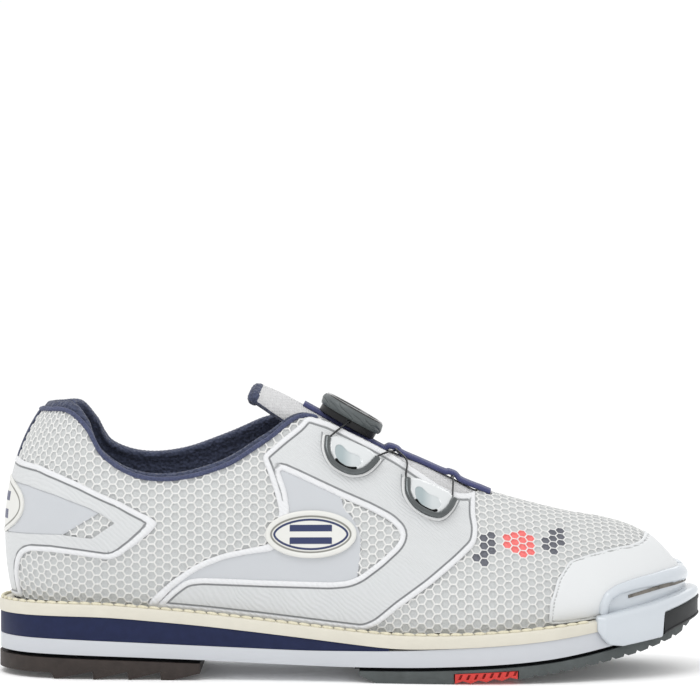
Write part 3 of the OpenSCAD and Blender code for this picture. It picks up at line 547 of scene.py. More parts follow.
def material(name, color, rough, noise=(), vary=0.04, vary_scale=60.0, **sockets):
    """A surface with layered relief. noise: (kind, scale, strength) rows, in 1/metre and share of relief."""
    m = bpy.data.materials.new(name)
    m.use_nodes = True
    nt = m.node_tree
    b = nt.nodes["Principled BSDF"]
    b.inputs["Roughness"].default_value = rough
    for key, value in sockets.items():
        b.inputs[key.replace("_", " ")].default_value = value
    co = nt.nodes.new("ShaderNodeTexCoord")
    spots = nt.nodes.new("ShaderNodeTexNoise")
    spots.inputs["Scale"].default_value = vary_scale
    spots.inputs["Detail"].default_value = 5
    nt.links.new(co.outputs["Object"], spots.inputs["Vector"])
    ramp = nt.nodes.new("ShaderNodeValToRGB")
    c = np.array(srgb(color))
    ramp.color_ramp.elements[0].position = 0.3
    ramp.color_ramp.elements[1].position = 0.7
    ramp.color_ramp.elements[0].color = (*np.clip(c * (1 - vary), 0, 1), 1)
    ramp.color_ramp.elements[1].color = (*np.clip(c * (1 + vary), 0, 1), 1)
    nt.links.new(spots.outputs["Fac"], ramp.inputs["Fac"])
    nt.links.new(ramp.outputs["Color"], b.inputs["Base Color"])
    m["color_out"] = ramp.name
    last = None
    for kind, scale, strength in noise:
        if kind == "noise":
            t = nt.nodes.new("ShaderNodeTexNoise")
            t.inputs["Detail"].default_value = 6
            out = t.outputs["Fac"]
        elif kind == "cells":
            t = nt.nodes.new("ShaderNodeTexVoronoi")
            out = t.outputs["Distance"]
        else:
            t = nt.nodes.new("ShaderNodeTexWave")
            t.wave_type = "RINGS" if kind == "rings" else "BANDS"
            t.bands_direction = {"bands_x": "X", "bands_z": "Z"}.get(kind, "DIAGONAL")
            t.inputs["Distortion"].default_value = 9.0 if kind in ("rings", "swirl") else 0.4
            t.inputs["Detail"].default_value = 2
            t.inputs["Detail Scale"].default_value = 0.35 if kind in ("rings", "swirl") else 1
            out = t.outputs["Fac"]
        t.inputs["Scale"].default_value = scale
        nt.links.new(co.outputs["Object"], t.inputs["Vector"])
        bump = nt.nodes.new("ShaderNodeBump")
        bump.inputs["Strength"].default_value = strength
        bump.inputs["Distance"].default_value = 0.0008 if kind == "cells" and scale < 800 else 0.0004
        nt.links.new(out, bump.inputs["Height"])
        if last is not None:
            nt.links.new(last, bump.inputs["Normal"])
        last = bump.outputs["Normal"]
    if last is not None:
        nt.links.new(last, b.inputs["Normal"])
    return m


def tone_colours(m, stops):
    """Colours by the tone attribute: one for tone 0, one for 1 and so on, mixed evenly between them."""
    nt = m.node_tree
    b = nt.nodes["Principled BSDF"]
    at = nt.nodes.new("ShaderNodeAttribute")
    at.attribute_name = "tone"
    ramp = nt.nodes.new("ShaderNodeValToRGB")
    top = len(stops) - 1
    div = nt.nodes.new("ShaderNodeMath")
    div.operation = "DIVIDE"
    div.inputs[1].default_value = top
    nt.links.new(at.outputs["Fac"], div.inputs[0])
    nt.links.new(div.outputs[0], ramp.inputs["Fac"])
    while len(ramp.color_ramp.elements) < len(stops):
        ramp.color_ramp.elements.new(0.5)
    for i, (e, c) in enumerate(zip(ramp.color_ramp.elements, stops)):
        e.position = i / top
        e.color = (*srgb(c), 1)
    mix = nt.nodes.new("ShaderNodeMix")
    mix.data_type = "RGBA"
    mix.blend_type = "MULTIPLY"
    mix.inputs[0].default_value = 1.0
    nt.links.new(ramp.outputs["Color"], mix.inputs[6])
    nt.links.new(nt.nodes[m["color_out"]].outputs["Color"], mix.inputs[7])
    nt.links.new(mix.outputs[2], b.inputs["Base Color"])
    return m


M = {
    "mesh": tone_colours(material("knit_mesh", "#ffffff", 0.85, [("cells", 1500, 0.6)], 0.07, 900, Sheen_Weight=0.1),
                         ["#dfdfdd", "#c3c5c5"]),
    "ink_red": material("print_coral", "#e87a78", 0.8, [("cells", 1500, 0.6)], 0.12, 900),
    "ink_dark": material("print_grey", "#6a6c74", 0.8, [("cells", 1500, 0.6)], 0.15, 900),
    # Tone stops: bead, groove, flat; the groove's dark grey is painted shade.
    "frame": tone_colours(material("moulded_frame", "#ffffff", 0.42, [("swirl", 260, 0.4), ("noise", 2500, 0.1)], 0.01),
                          ["#d8d9db", "#8b8d8f", "#c7c9ca"]),
    "film": material("smooth_film", "#b9bcc0", 0.3, [("noise", 900, 0.06)], 0.015, 30, Coat_Weight=0.25),
    "badge": tone_colours(material("badge_patch", "#ffffff", 0.35, [("noise", 1800, 0.05)], 0.02),
                          ["#d5d5d1", "#7d7d77", "#c2c4c8", "#232e57"]),
    "leather": tone_colours(material("toe_leather", "#ffffff", 0.38, [("noise", 1400, 0.12)], 0.012, 25),
                            ["#d3d5d6", "#858787"]),
    "tpu": material("toe_urethane", "#c0c6cc", 0.24, [("noise", 700, 0.05)], 0.01, 20, Coat_Weight=0.5),
    # Dark colour for the toe guard's slot: painted shade inside the slot.
    "slot": material("slot_dark", "#6c6862", 0.6, [("noise", 800, 0.6)], 0.4, 260, Specular_IOR_Level=0.3),
    "navy_knit": material("navy_knit", "#41475c", 0.85, [("cells", 620, 1.0), ("noise", 3000, 0.5)], 0.35, 700,
                          Sheen_Weight=0.2, Specular_IOR_Level=0.2),
    "piping": material("knit_piping", "#474d68", 0.8, [("noise", 4000, 0.6)], 0.35, 1500, Sheen_Weight=0.2,
                       Specular_IOR_Level=0.2),
    "lining": material("lining_knit", "#30354c", 0.9, [("cells", 620, 0.9)], 0.3, 700, Sheen_Weight=0.15,
                       Specular_IOR_Level=0.2),
    "white_knit": material("tongue_knit", "#cfcfd0", 0.85, [("bands_x", 420, 0.5), ("bands_z", 520, 0.6),
                           ("noise", 3000, 0.3)], 0.05, 700, Sheen_Weight=0.15),
    "webbing": material("strap_webbing", "#42466d", 0.75, [("noise", 3500, 0.5)], 0.25, 2200, Sheen_Weight=0.2,
                        Specular_IOR_Level=0.25),
    "eva_white": material("foam_white", "#bcbfc4", 0.5, [("noise", 2200, 0.12)], 0.015, 40),
    "eva_navy": material("foam_navy", "#1a2242", 0.55, [("noise", 2200, 0.18)], 0.1, 300,
                         Specular_IOR_Level=0.2),
    "welt": material("welt_rubber", "#cdc9bc", 0.55, [("noise", 1500, 0.2)], 0.03, 120),
    "thread": material("welt_thread", "#d8d2ba", 0.8, [("noise", 5000, 0.6)], 0.08, 900),
    "rubber_black": material("bumper_rubber", "#262829", 0.5, [("noise", 1800, 0.25)], 0.12, 200,
                             Specular_IOR_Level=0.25),
    "rubber_grey": material("outsole_rubber", "#4c5151", 0.6, [("noise", 1500, 0.3)], 0.14, 150,
                            Specular_IOR_Level=0.3),
    "rubber_red": material("insert_rubber", "#c33b36", 0.5, [("noise", 1500, 0.2)], 0.08, 300,
                           Specular_IOR_Level=0.3),
    "rubber_brown": material("heel_rubber", "#332c29", 0.6, [("noise", 1600, 0.3)], 0.18, 200,
                             Specular_IOR_Level=0.3),
    "hook": material("hook_and_loop", "#141517", 0.9, [("noise", 5000, 0.9)], 0.3, 2500,
                     Specular_IOR_Level=0.1),
    # Tone 1: the sunk lens's grey-blue tint, which guide() darkens toward the heel side as painted shade.
    "guide": tone_colours(material("guide_nylon", "#ffffff", 0.14, [("noise", 300, 0.02)], 0.02, 60, Coat_Weight=0.6),
                          ["#cdd0d1", "#98a5a8"]),
    "guide_dark": material("guide_tube", "#5c6061", 0.25, [("noise", 600, 0.03)], 0.1, 200, Metallic=0.8),
    "halo": material("guide_halo", "#d3d4d4", 0.4, [("noise", 1800, 0.08)], 0.01),
    # Grey for the seam round the guide halo: painted shade between halo and frame.
    "groove": material("stitch_groove", "#8f9193", 0.7, [("noise", 1800, 0.3)], 0.2, 600),
    # Black for the guide slot's tube: painted shadow inside the slot.
    "slot_painted_shadow": material("groove_black", "#0f1011", 0.7, [("noise", 900, 0.1)], 0.2, Specular_IOR_Level=0.1),
    "lace": material("steel_lace", "#2a2b2c", 0.35, [("noise", 5000, 0.3)], 0.2, 3000, Metallic=0.5),
    "dial_rubber": material("dial_rubber", "#4f5556", 0.42, [("noise", 1200, 0.04)], 0.03, 100),
    "dial_gloss": material("dial_gloss", "#101112", 0.12, [("noise", 300, 0.02)], 0.1, 100, Coat_Weight=0.6),
    "dial_cap": material("dial_top", "#8f9596", 0.3, [("noise", 900, 0.06)], 0.06, 120, Metallic=0.6),
    "dial_black": material("dial_housing", "#141517", 0.4, [("noise", 1200, 0.08)], 0.1, 200,
                           Specular_IOR_Level=0.3),
    "steel": material("plain_steel", "#8d9296", 0.3, [("noise", 900, 0.1)], 0.08, 200, Metallic=1.0),
    "board": material("fibre_board", "#b59a72", 0.85, [("noise", 1400, 0.5)], 0.15, 400),
    "stiffener": material("stiffener_sheet", "#cfd0cd", 0.6, [("noise", 1400, 0.2)], 0.05, 200),
}


def paint(node, key):
    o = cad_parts[node]
    if not o.material_slots:
        o.data.materials.append(M[key])
    for s in o.material_slots:
        s.material = M[key]


# ------------------------------------------------------------------ camera, floor and light
cam = bpy.data.objects.new("camera", bpy.data.cameras.new("camera"))
cam.data.lens = 150
cam.data.sensor_width = 36
cam.location = (0, -1.2755, 0.1692)
cam.rotation_euler = (math.radians(88.69), 0, 0)
bpy.context.scene.collection.objects.link(cam)
bpy.context.scene.camera = cam
bpy.context.scene.view_settings.view_transform = "Standard"
bpy.context.scene.view_settings.look = "None"

world = bpy.data.worlds.new("studio")
world.use_nodes = True
world.node_tree.nodes["Background"].inputs["Color"].default_value = (1, 1, 1, 1)
world.node_tree.nodes["Background"].inputs["Strength"].default_value = 1.02
bpy.context.scene.world = world


def area_light(name, at, to, size, power):
    o = bpy.data.objects.new(name, bpy.data.lights.new(name, "AREA"))
    o.data.shape = "RECTANGLE"
    o.data.size, o.data.size_y = size
    o.data.energy = power
    o.location = at
    o.rotation_euler = (Vector(to) - Vector(at)).to_track_quat("-Z", "Y").to_euler()
    bpy.context.scene.collection.objects.link(o)


area_light("key", (-0.25, -0.45, 0.95), (0, 0, 0.05), (0.7, 0.5), 3.4)
area_light("fill", (0.7, -0.7, 0.35), (0.05, 0, 0.05), (0.6, 0.5), 0.2)
area_light("back", (0.1, 0.8, 0.7), (0, 0, 0.06), (1.0, 0.5), 1.2)

floor_mat = bpy.data.materials.new("pale_floor")
floor_mat.use_nodes = True
for _key, _value in {"Base Color": (0.97, 0.97, 0.97, 1), "Roughness": 1.0, "Specular IOR Level": 0.0,
                     "Emission Color": (1, 1, 1, 1), "Emission Strength": 0.05}.items():
    floor_mat.node_tree.nodes["Principled BSDF"].inputs[_key].default_value = _value
fm = bpy.data.meshes.new("floor")
fm.from_pydata([(-9, -9, 0), (9, -9, 0), (9, 9, 0), (-9, 9, 0)], [], [(0, 1, 2, 3)])
fm.materials.append(floor_mat)
floor = bpy.data.objects.new("floor", fm)
bpy.context.scene.collection.objects.link(floor)


# ------------------------------------------------------------------ the sole
def outline(d, n=360):
    """The sole's outline from above, d mm further out."""
    p = through(PLAN, n)
    p[:, 1] += skew(p[:, 0])
    t = np.roll(p, -1, axis=0) - np.roll(p, 1, axis=0)
    return p + np.stack([t[:, 1], -t[:, 0]], 1) / np.linalg.norm(t, axis=1)[:, None] * d


def prism(name, loop, axis, lo, hi):
    """A closed prism over a flat outline, in metres: axis 2 stands on x, y and axis 1 on x, z."""
    n = len(loop)
    co = []
    for h in (lo, hi):
        for a, b in loop:
            co.append((a, b, h) if axis == 2 else (a, h, b))
    faces = [tuple(range(n))[::-1], tuple(range(n, 2 * n))]
    faces += [(i, (i + 1) % n, n + (i + 1) % n, n + i) for i in range(n)]
    return weld(add(name, co, faces, [], smooth=False), merge=False)


def applied(o):
    """The object with its modifiers made final."""
    dg = bpy.context.evaluated_depsgraph_get()
    me = bpy.data.meshes.new_from_object(o.evaluated_get(dg))
    o.modifiers.clear()
    old = o.data
    o.data = me
    me.name = o.name
    bpy.data.meshes.remove(old)
    return o


def combine(o, other, how):
    m = o.modifiers.new("cut", "BOOLEAN")
    m.operation = how
    m.object = other
    m.solver = "EXACT"
    applied(o)
    bpy.data.objects.remove(other)
    return o


def soften(o, width):
    """The solid with rounded edges."""
    m = o.modifiers.new("bevel", "BEVEL")
    m.width = width * MM
    m.segments = 2
    m.limit_method = "ANGLE"
    m.angle_limit = math.radians(35)
    m.harden_normals = False
    applied(o)
    for p in o.data.polygons:
        p.use_smooth = True
    return crease(o, 32)


def slab(name, low, high, d, mat, bevel, y=(-90, 90), cuts=()):
    """A layer of the sole: between two height profiles, within the outline at d, less the cutters' shapes."""
    o = prism(name, list(high) + list(low)[::-1], 1, *y)
    combine(o, prism("cutter", outline(d), 2, -5, 60), "INTERSECT")
    for loop, y0, y1 in cuts:
        combine(o, prism("cutter", loop, 1, y0, y1), "DIFFERENCE")
    o.data.materials.clear()
    o.data.materials.append(mat)
    return soften(o, bevel)


def cut_x(table, a, b):
    return [(a, float(tab(table, a)))] + [p for p in table if a + 0.5 < p[0] < b - 0.5] + [(b, float(tab(table, b)))]


def lift(table, dz):
    return [(x, z + dz) for x, z in table]


def smooth_table(table, step=6.0):
    """The same profile with soft bends, so that a long edge shows no corners."""
    p = np.array(table, float)
    x = np.arange(p[0, 0], p[-1, 0] + step, step)
    x[-1] = p[-1, 0]
    y = np.interp(x, p[:, 0], p[:, 1])
    for _ in range(3):
        y[1:-1] = 0.25 * y[:-2] + 0.5 * y[1:-1] + 0.25 * y[2:]
    return list(zip(x.tolist(), y.tolist()))


BASE_BOT_S, BASE_TOP_S = smooth_table(BASE_BOT), smooth_table(BASE_TOP)
WEDGE_TOP_S, WELT_LOW_S, WELT_TOP_S = (smooth_table(t) for t in (WEDGE_TOP, WELT_LOW, WELT_TOP))

piece(slab("midsole_base_body", cut_x(BASE_BOT_S, -155, 151), cut_x(BASE_TOP_S, -155, 151), 0, M["eva_white"], 0.7),
      "shoe", ["midsole_base"])
piece(slab("midsole_wedge_body", cut_x(lift(BASE_TOP_S, 0.1), -155, 16.5), cut_x(WEDGE_TOP_S, -155, 16.5), 0,
           M["eva_navy"], 0.5), "shoe", ["midsole_wedge"])


def welt():
    """The welt: a strip round the edge with a flat face, a soft top edge and a groove for its thread."""
    prof = [(0.4, 0.1, 0), (0.5, 0.6, 0), (0.5, -1.1, 1), (0.2, -0.35, 1), (-0.5, 0, 1), (-1.0, -0.1, 1),
            (-1.5, -0.35, 1), (-2.1, -0.1, 1), (-6, 0, 1), (-6, 0.1, 0)]
    rows = []
    for d, dz, top in prof:
        o = outline(d, 540)
        z = tab(WELT_TOP_S if top else WELT_LOW_S, o[:, 0]) + dz
        rows.append(np.column_stack([o, z]))
    co = np.stack(rows, axis=1).reshape(-1, 3)
    return crease(weld(add("welt_strip", co, grid_faces(540, len(prof), True, True), M["welt"])), 50)


piece(welt(), "shoe", ["welt"])


def stitches(name, path, up, length, width, height, mat, lean=0.0):
    """Separate lozenge stitches at the given points; up is the direction they stand out in."""
    verts, faces = [], []
    ring_n, steps = 8, 7
    for i in range(len(path) - 1):
        a, b = path[i], path[i + 1]
        t = (b - a) / np.linalg.norm(b - a)
        n = up[i] / np.linalg.norm(up[i])
        s = np.cross(t, n)
        mid = (a + b) / 2
        base = len(verts)
        for k in range(steps):
            f = k / (steps - 1)
            w = math.sin(math.pi * (0.08 + 0.84 * f)) ** 0.6
            c = mid + t * (f - 0.5) * length + s * (f - 0.5) * lean
            for j in range(ring_n):
                g = 2 * math.pi * j / ring_n
                verts.append(c + s * (math.cos(g) * width / 2 * w) + n * (math.sin(g) * height / 2 * w))
        for k in range(steps - 1):
            for j in range(ring_n):
                p, q = base + k * ring_n + j, base + k * ring_n + (j + 1) % ring_n
                faces.append((p, q, q + ring_n, p + ring_n))
        faces.append(tuple(base + j for j in range(ring_n))[::-1])
        faces.append(tuple(base + (steps - 1) * ring_n + j for j in range(ring_n)))
    return add(name, np.array(verts), faces, mat)


def evenly(points, step, closed=True):
    p = np.vstack([points, points[:1]]) if closed else np.asarray(points)
    d = np.r_[0, np.cumsum(np.linalg.norm(np.diff(p, axis=0), axis=1))]
    n = int(round(d[-1] / step))
    s = np.linspace(0, d[-1], n + 1)
    return np.stack([np.interp(s, d, p[:, k]) for k in range(p.shape[1])], 1)


GUARD_START = 104            # the welt's thread ends here, where the toe guard begins
line = outline(-0.95, 720)
line = evenly(np.column_stack([line, tab(WELT_TOP_S, line[:, 0]) + 0.35]), 5.0)[:-1]
keep = line[:, 0] < GUARD_START
runs = np.roll(np.arange(len(line)), -int(np.argmax(~keep)) - 1)
line = line[[i for i in runs if keep[i]]]
piece(stitches("welt_stitches", line, np.tile([0, 0, 1.0], (len(line), 1)), 4.75, 1.7, 1.5, M["thread"], 0.7),
      "shoe", ())


# ------------------------------------------------------------------ overlays on the upper
def seen(chart, x, z):
    """The toe or heel pattern's place of a point given as seen from the side."""
    ut = OUT.find(np.array([[x, z]], float))
    return tuple(chart.flat(surf(ut[:, 0], ut[:, 1]))[0])


def bead(d, width, rise, base):
    k = np.clip(np.abs(d - width / 2) / (width / 2), 0, 1)
    return np.where(d < width, base + rise * np.sqrt(np.maximum(1 - k * k, 0)), base)


def frame_height(d, co):
    """A round bead along the edge, a thin groove inside it, then the flat of the frame."""
    h = bead(d, 2.5, 0.75, 0.55)
    return np.where(d > 2.9, 0.95, h)


# Tone 0 on the bead, 2 on the flat; tone 1, the dark grey in the groove between them, is painted shade.
def frame_tone(d, co):
    return np.where((d > 2.3) & (d < 3.0), 1.0, np.where(d > 3.0, 2.0, 0.0))


BADGE_WHITE, BADGE_GREY, BADGE_NAVY = 0.0, 1.0, 3.0
FRAME_ROWS = (0.15, 0.45, 0.85, 1.25, 1.65, 2.05, 2.35, 2.5, 2.7, 2.95, 3.15, 4.0)

WINDOW = [(-30.5, 90), (-21.4, 86), (-4.3, 78), (8.5, 72.4), (17, 67.9), (21, 64), (21.6, 61.4), (20, 58), (12.4, 51.2),
          (4, 45), (-1, 43), (-8.5, 42.4), (-38, 43), (-63.8, 44), (-70, 43), (-76, 38.5), (-83, 31.5), (-75, 40),
          (-67, 45.8), (-61, 49), (-53, 52), (-44.6, 53.8), (-32, 55.5), (-25.5, 71.5), (-27, 80.8)]
FILM = [(-31, 91), (-21.4, 87), (-3.6, 78.6), (-3, 74), (1.5, 69), (4.8, 62), (4.5, 54), (3.4, 46.2), (3, 43),
        (-8.5, 41.6), (-38, 42.2), (-63.8, 43), (-71, 41.5), (-77, 37.6), (-76, 40.6), (-67, 46.8), (-61, 50),
        (-53, 53), (-44.6, 54.8), (-33, 56.5), (-26.5, 71.5), (-28, 80.8)]


def side_shape(s):
    """The side frame's outline. It follows the upper's own edge at the top and at the bottom."""
    return ([(-37.8, 95), (-30, 101.7), (-21.6, 108.1)] + edge(9.05, 14.5, 0.99, 12, s)
            + [(53.7, 69.7), (54.8, 63.7), (53.7, 57.7), (46.8, 51.6), (34, 41.3), (21, 32), (12, 24.5)]
            + edge(9.6, 4.75, 0.004, 8, s)
            + [(-85, 34.4), (-76.5, 42.2), (-68, 48.1), (-61.6, 51.6), (-53, 54.5), (-44.6, 56.2), (-34, 58.3),
               (-29.9, 71.5), (-31.6, 78.6), (-35.2, 89.1)])


def side_panels(s, tag):
    chart = side_chart(s)
    o = panel("side_frame_" + tag, [side_shape(s), WINDOW], chart, frame_height, FRAME_ROWS, M["frame"],
              tone=frame_tone)
    piece(o, "shoe", ["side_frame_" + tag])
    o = panel("side_film_" + tag, [FILM], chart, lambda d, c: np.minimum(0.2 + d * 0.3, 0.42), (0.4, 0.9), M["film"],
              grid=2.0)
    piece(o, "shoe", ["side_film_" + tag])


def badge(name, node, chart, centre, size, n, bars, height, rows, grey, navy=(0, 0)):
    """An oval patch with a plain mark of two level bars, given as (spacing, half height, width). grey and navy are
    the distances from the edge between which a band of that colour runs."""
    cx, cz = centre
    space, half, width = bars
    k = np.arange(n) * 2 * math.pi / n
    oval = list(zip(cx + size[0] * np.cos(k), cz + size[1] * np.sin(k)))
    bar_z = [cz - space, cz + space]

    def tone(d, co):
        t = np.where((d > grey[0]) & (d < grey[1]), BADGE_GREY, BADGE_WHITE)
        for z in bar_z:
            t = np.where((np.abs(co[:, 0] - cx) < width / 2) & (np.abs(co[:, 1] - z) < half), BADGE_NAVY, t)
        return np.where((d > navy[0]) & (d < navy[1]), BADGE_NAVY, t)

    lines = [[(cx + a * width / 2, z + b * half) for a, b in ((-1, -1), (1, -1), (1, 1), (-1, 1))] for z in bar_z]
    o = panel(name, [oval], chart, height, rows, M["badge"], step=1.0, grid=1.2, tone=tone, r=0.6, lines=lines)
    piece(o, "shoe", [node])


def back_outline(points):
    """An outline on the heel: points as seen from the outer side, then the same on the inner side."""
    return mirrored([(-abs(a), b) for a, b in (seen(BACK, x, z) for x, z in points)])


def heel():
    top = [(-145, 94.5), (-133, 90.8), (-124, 87.3), (-115, 83.6), (-98, 76), (-85, 69.6), (-81.8, 67), (-85, 63),
           (-91.5, 57.7), (-98, 53), (-102.5, 51.3), (-115, 52.9), (-128, 54.3), (-137, 54.3), (-140.5, 52.8),
           (-142.5, 49.2), (-143.3, 43.5), (-142.5, 37), (-141.5, 33.2)]
    shape = back_outline(top)
    field = [(-147, 84.5), (-138, 82), (-126, 78.6), (-112, 73.5), (-107.3, 71.3)]
    hole = back_outline(field + [(-100, 67), (-110, 60.2), (-124, 61.8), (-136, 61.6), (-146, 61.5)])
    rim = [np.array(rounded(shape, 2.5))]

    def height(d, c):
        return frame_height(distance(c, rim)[0], c) - np.where(d < 0.3, 0.2, 0)

    o = panel("heel_frame_skin", [shape, hole], BACK, height, FRAME_ROWS, M["frame"], grid=1.6, r=1.0,
              tone=lambda d, c: frame_tone(distance(c, rim)[0], c))
    piece(o, "shoe", ["heel_frame"])
    o = panel("heel_field", [back_outline([(-147, 85), (-138, 82.5), (-126, 79.1), (-112, 74), (-106.6, 71.3),
                                           (-123.4, 61.2), (-136, 61.1), (-146, 61)])], BACK,
              lambda d, c: np.minimum(0.2 + d * 0.3, 0.5), (0.3, 0.7, 1.2), M["film"], grid=2.0, r=1.0)
    piece(o, "shoe", ())
    top = surf(np.array([0.0]), np.array([1.0]))[0, 2] - 0.6
    o = panel("heel_strip", [[(-5, 93), (5, 93), (5.5, top), (-5.5, top)]], BACK,
              lambda d, c: 0.5 + 0.5 * np.minimum(d / 1.2, 1) ** 0.5, (0.2, 0.5, 0.9, 1.3), M["navy_knit"],
              grid=1.2, r=1.0)
    piece(o, "shoe", ())
    badge("heel_badge", "heel_badge", BACK, (0, 73), (24, 12.5), 48, (3.8, 2.0, 26),
          lambda d, c: bead(d, 1.8, 0.35, 1.25), (0.2, 0.6, 1.0, 1.4, 1.7, 2.0, 2.4, 2.6), (1.5, 2.5))


def toe_arch(points):
    """An open line over the toe, from points as seen from the side."""
    return mirrored([seen(TOE, x, z) for x, z in points])


def toe_loop(points, n, t):
    """A closed outline: the arch, and the upper's own lower edge at height t."""
    u_end = OUT.find(np.array(points[:1], float))[0, 0]
    low = [tuple(p) for p in TOE.flat(surf(np.linspace(RN - u_end, u_end, n), np.full(n, t)))]
    return np.array(toe_arch(points) + low[1:-1])


CAP_LINE = [(84.9, 33.3), (88.2, 42.6), (93.8, 50), (107.6, 53.5), (121.5, 55.6), (126.5, 57.3), (129.0, 60)]


def toe_cap():
    loop = toe_loop([(84.2, 24.5)] + CAP_LINE, 30, 0.006)

    def height(d, c):
        high = c[:, 1] > -34
        seam = np.exp(-((d - 1.5) / 0.35) ** 2) * 0.3 * high
        return 0.95 + 0.15 * np.clip(d / 6, 0, 1) - seam - np.where(d < 0.3, 0.35, 0)

    def tone(d, c):
        dash = np.sin((c[:, 0] + c[:, 1] * 0.7) * 2.6) > -0.3
        return np.where((np.abs(d - 1.5) < 0.3) & dash, 0.7, 0.0)

    o = panel("toe_cap", [loop], TOE, height, (0.15, 0.4, 0.9, 1.2, 1.5, 1.8, 2.2, 3), M["leather"], step=0.9, grid=2.0,
              tone=tone, r=2.0)
    piece(o, "shoe", ["toe_cap"])


def toe_guard():
    side_points = [(105.6, 28.4), (106, 32.3), (108.3, 36.8), (113.3, 39.8), (120.2, 41.8), (129.6, 43.6),
                   (139.3, 45.2), (144.5, 45.8)]
    loop = toe_loop(side_points, 26, 0.03)
    upper = np.array(toe_arch(side_points))
    slot_line = toe_arch([(118.5, 35.0), (126, 36.7), (134, 38.3), (140.5, 39.3), (145, 39.8)])

    def height(d, c):
        e = line_distance(c, upper)
        lip = 1.1 + 2.3 * np.sqrt(np.maximum(0, 1 - ((e - 2.7) / 2.7) ** 2))
        channel = 1.3 + 0.9 * np.clip((e - 9) / 6, 0, 1) ** 2
        return np.where(e < 5.2, np.maximum(lip, 1.3), channel)

    rows = (0.15, 0.4, 0.8, 1.4, 2.1, 2.8, 3.5, 4.1, 4.6, 5.0, 5.3, 5.8, 7)
    o = panel("toe_guard_shell", [loop], TOE, height, rows, M["tpu"], step=1.0, grid=1.5, r=1.6)
    piece(o, "shoe", ["toe_guard"])
    # A dark strip along the slot line: painted shade standing in for the slot's shadowed inside.
    flat = evenly(through(slot_line, 400, False), 0.8, False)
    side = np.gradient(flat, axis=0)
    side = np.stack([-side[:, 1], side[:, 0]], 1) / np.linalg.norm(side, axis=1)[:, None]
    cut = [TOE.lay(flat + side * w, h) for w, h in ((-0.75, 1.1), (-0.7, 1.7), (0.7, 1.7), (0.75, 1.1))]
    piece(sweep("toe_guard_slot", np.stack(cut, axis=1), M["slot"], smooth=False), "shoe", ())


def toe_band():
    """The urethane band outside the sole's edge at the toe, with its rubber bumper let in below."""
    top = [(104.8, 27.2), (129, 31.7), (143.5, 35), (156, 38)]
    low = [(104, 23.2), (105.2, 20.6), (106.6, 18.2), (109.3, 15.6), (115, 14.8), (132.2, 17.2), (132.9, 26.4),
           (133.6, 27.6), (156, 34.2)]

    prof = [(0.55, low, 0.3), (2.2, low, 0.0), (3.0, low, 0.35), (3.4, low, 1.2), (3.4, top, -1.6), (3.1, top, -0.6),
            (2.3, top, 0.0), (1.2, top, 0.35), (0.55, top, 0.4), (-4.0, top, 0.1), (-4.0, top, -1.4)]
    x = outline(0, 1440)[:, 0]
    thin = np.clip((x - 104.2) / 3.0, 0.15, 1) ** 0.6
    rows = []
    for d, table, dz in prof:
        z = np.clip(tab(table, x) + dz, tab(low, x), tab(top, x) + 0.4)
        rows.append(np.column_stack([outline((0.55 + (d - 0.55) * thin)[:, None], 1440), z]))
    o = sweep("toe_rand_band", np.stack(rows, axis=1)[x > 104.3], M["tpu"])
    piece(crease(o, 45), "shoe", ["toe_rand"])
    b_top = [(132.4, 26.9), (156, 33.9)]
    b_low = [(132.4, 17.3), (140, 20.5), (157, 25.5)]
    rows = []
    for d, table, dz in ((0.15, b_low, 0), (3.2, b_low, 0), (3.6, b_low, 0.4), (3.6, b_low, 0.9), (3.25, b_low, 1.0),
                         (3.25, b_top, -1.7), (3.6, b_top, -1.6), (3.6, b_top, -0.5), (3.3, b_top, 0),
                         (0.15, b_top, 0)):
        o = outline(d, 720)
        rows.append(np.column_stack([o, tab(table, o[:, 0]) + dz]))
    co = np.stack(rows, axis=1)
    o = sweep("toe_bumper_band", co[co[:, 0, 0] > 132.6], M["rubber_black"])
    piece(crease(o, 40), "shoe", ["toe_bumper"])


# ------------------------------------------------------------------ the mesh of the upper
FRONT_LINE = [(10, -4), (24, 5), (32, 14), (41, 27), (51, 40), (60, 47.5), (70, 48), (78, 44), (92, 30)]


def covered(p):
    """Whether a spot seen from the side lies well under a frame, so that no mesh shows there."""
    margin = 1.6
    (d1, in1), (d2, in2), (d3, in3) = (distance(p, [np.array(x)]) for x in (side_shape(-1), WINDOW, FILM))
    return (in1 & (d1 > margin) & ~(in2 | (d2 < margin))) | (in3 & (d3 > margin))


def front_x(xz):
    """Where the vamp's mesh meets the quarter's, at each spot's height."""
    return np.interp(xz[:, 1], [q[0] for q in FRONT_LINE], [q[1] for q in FRONT_LINE])


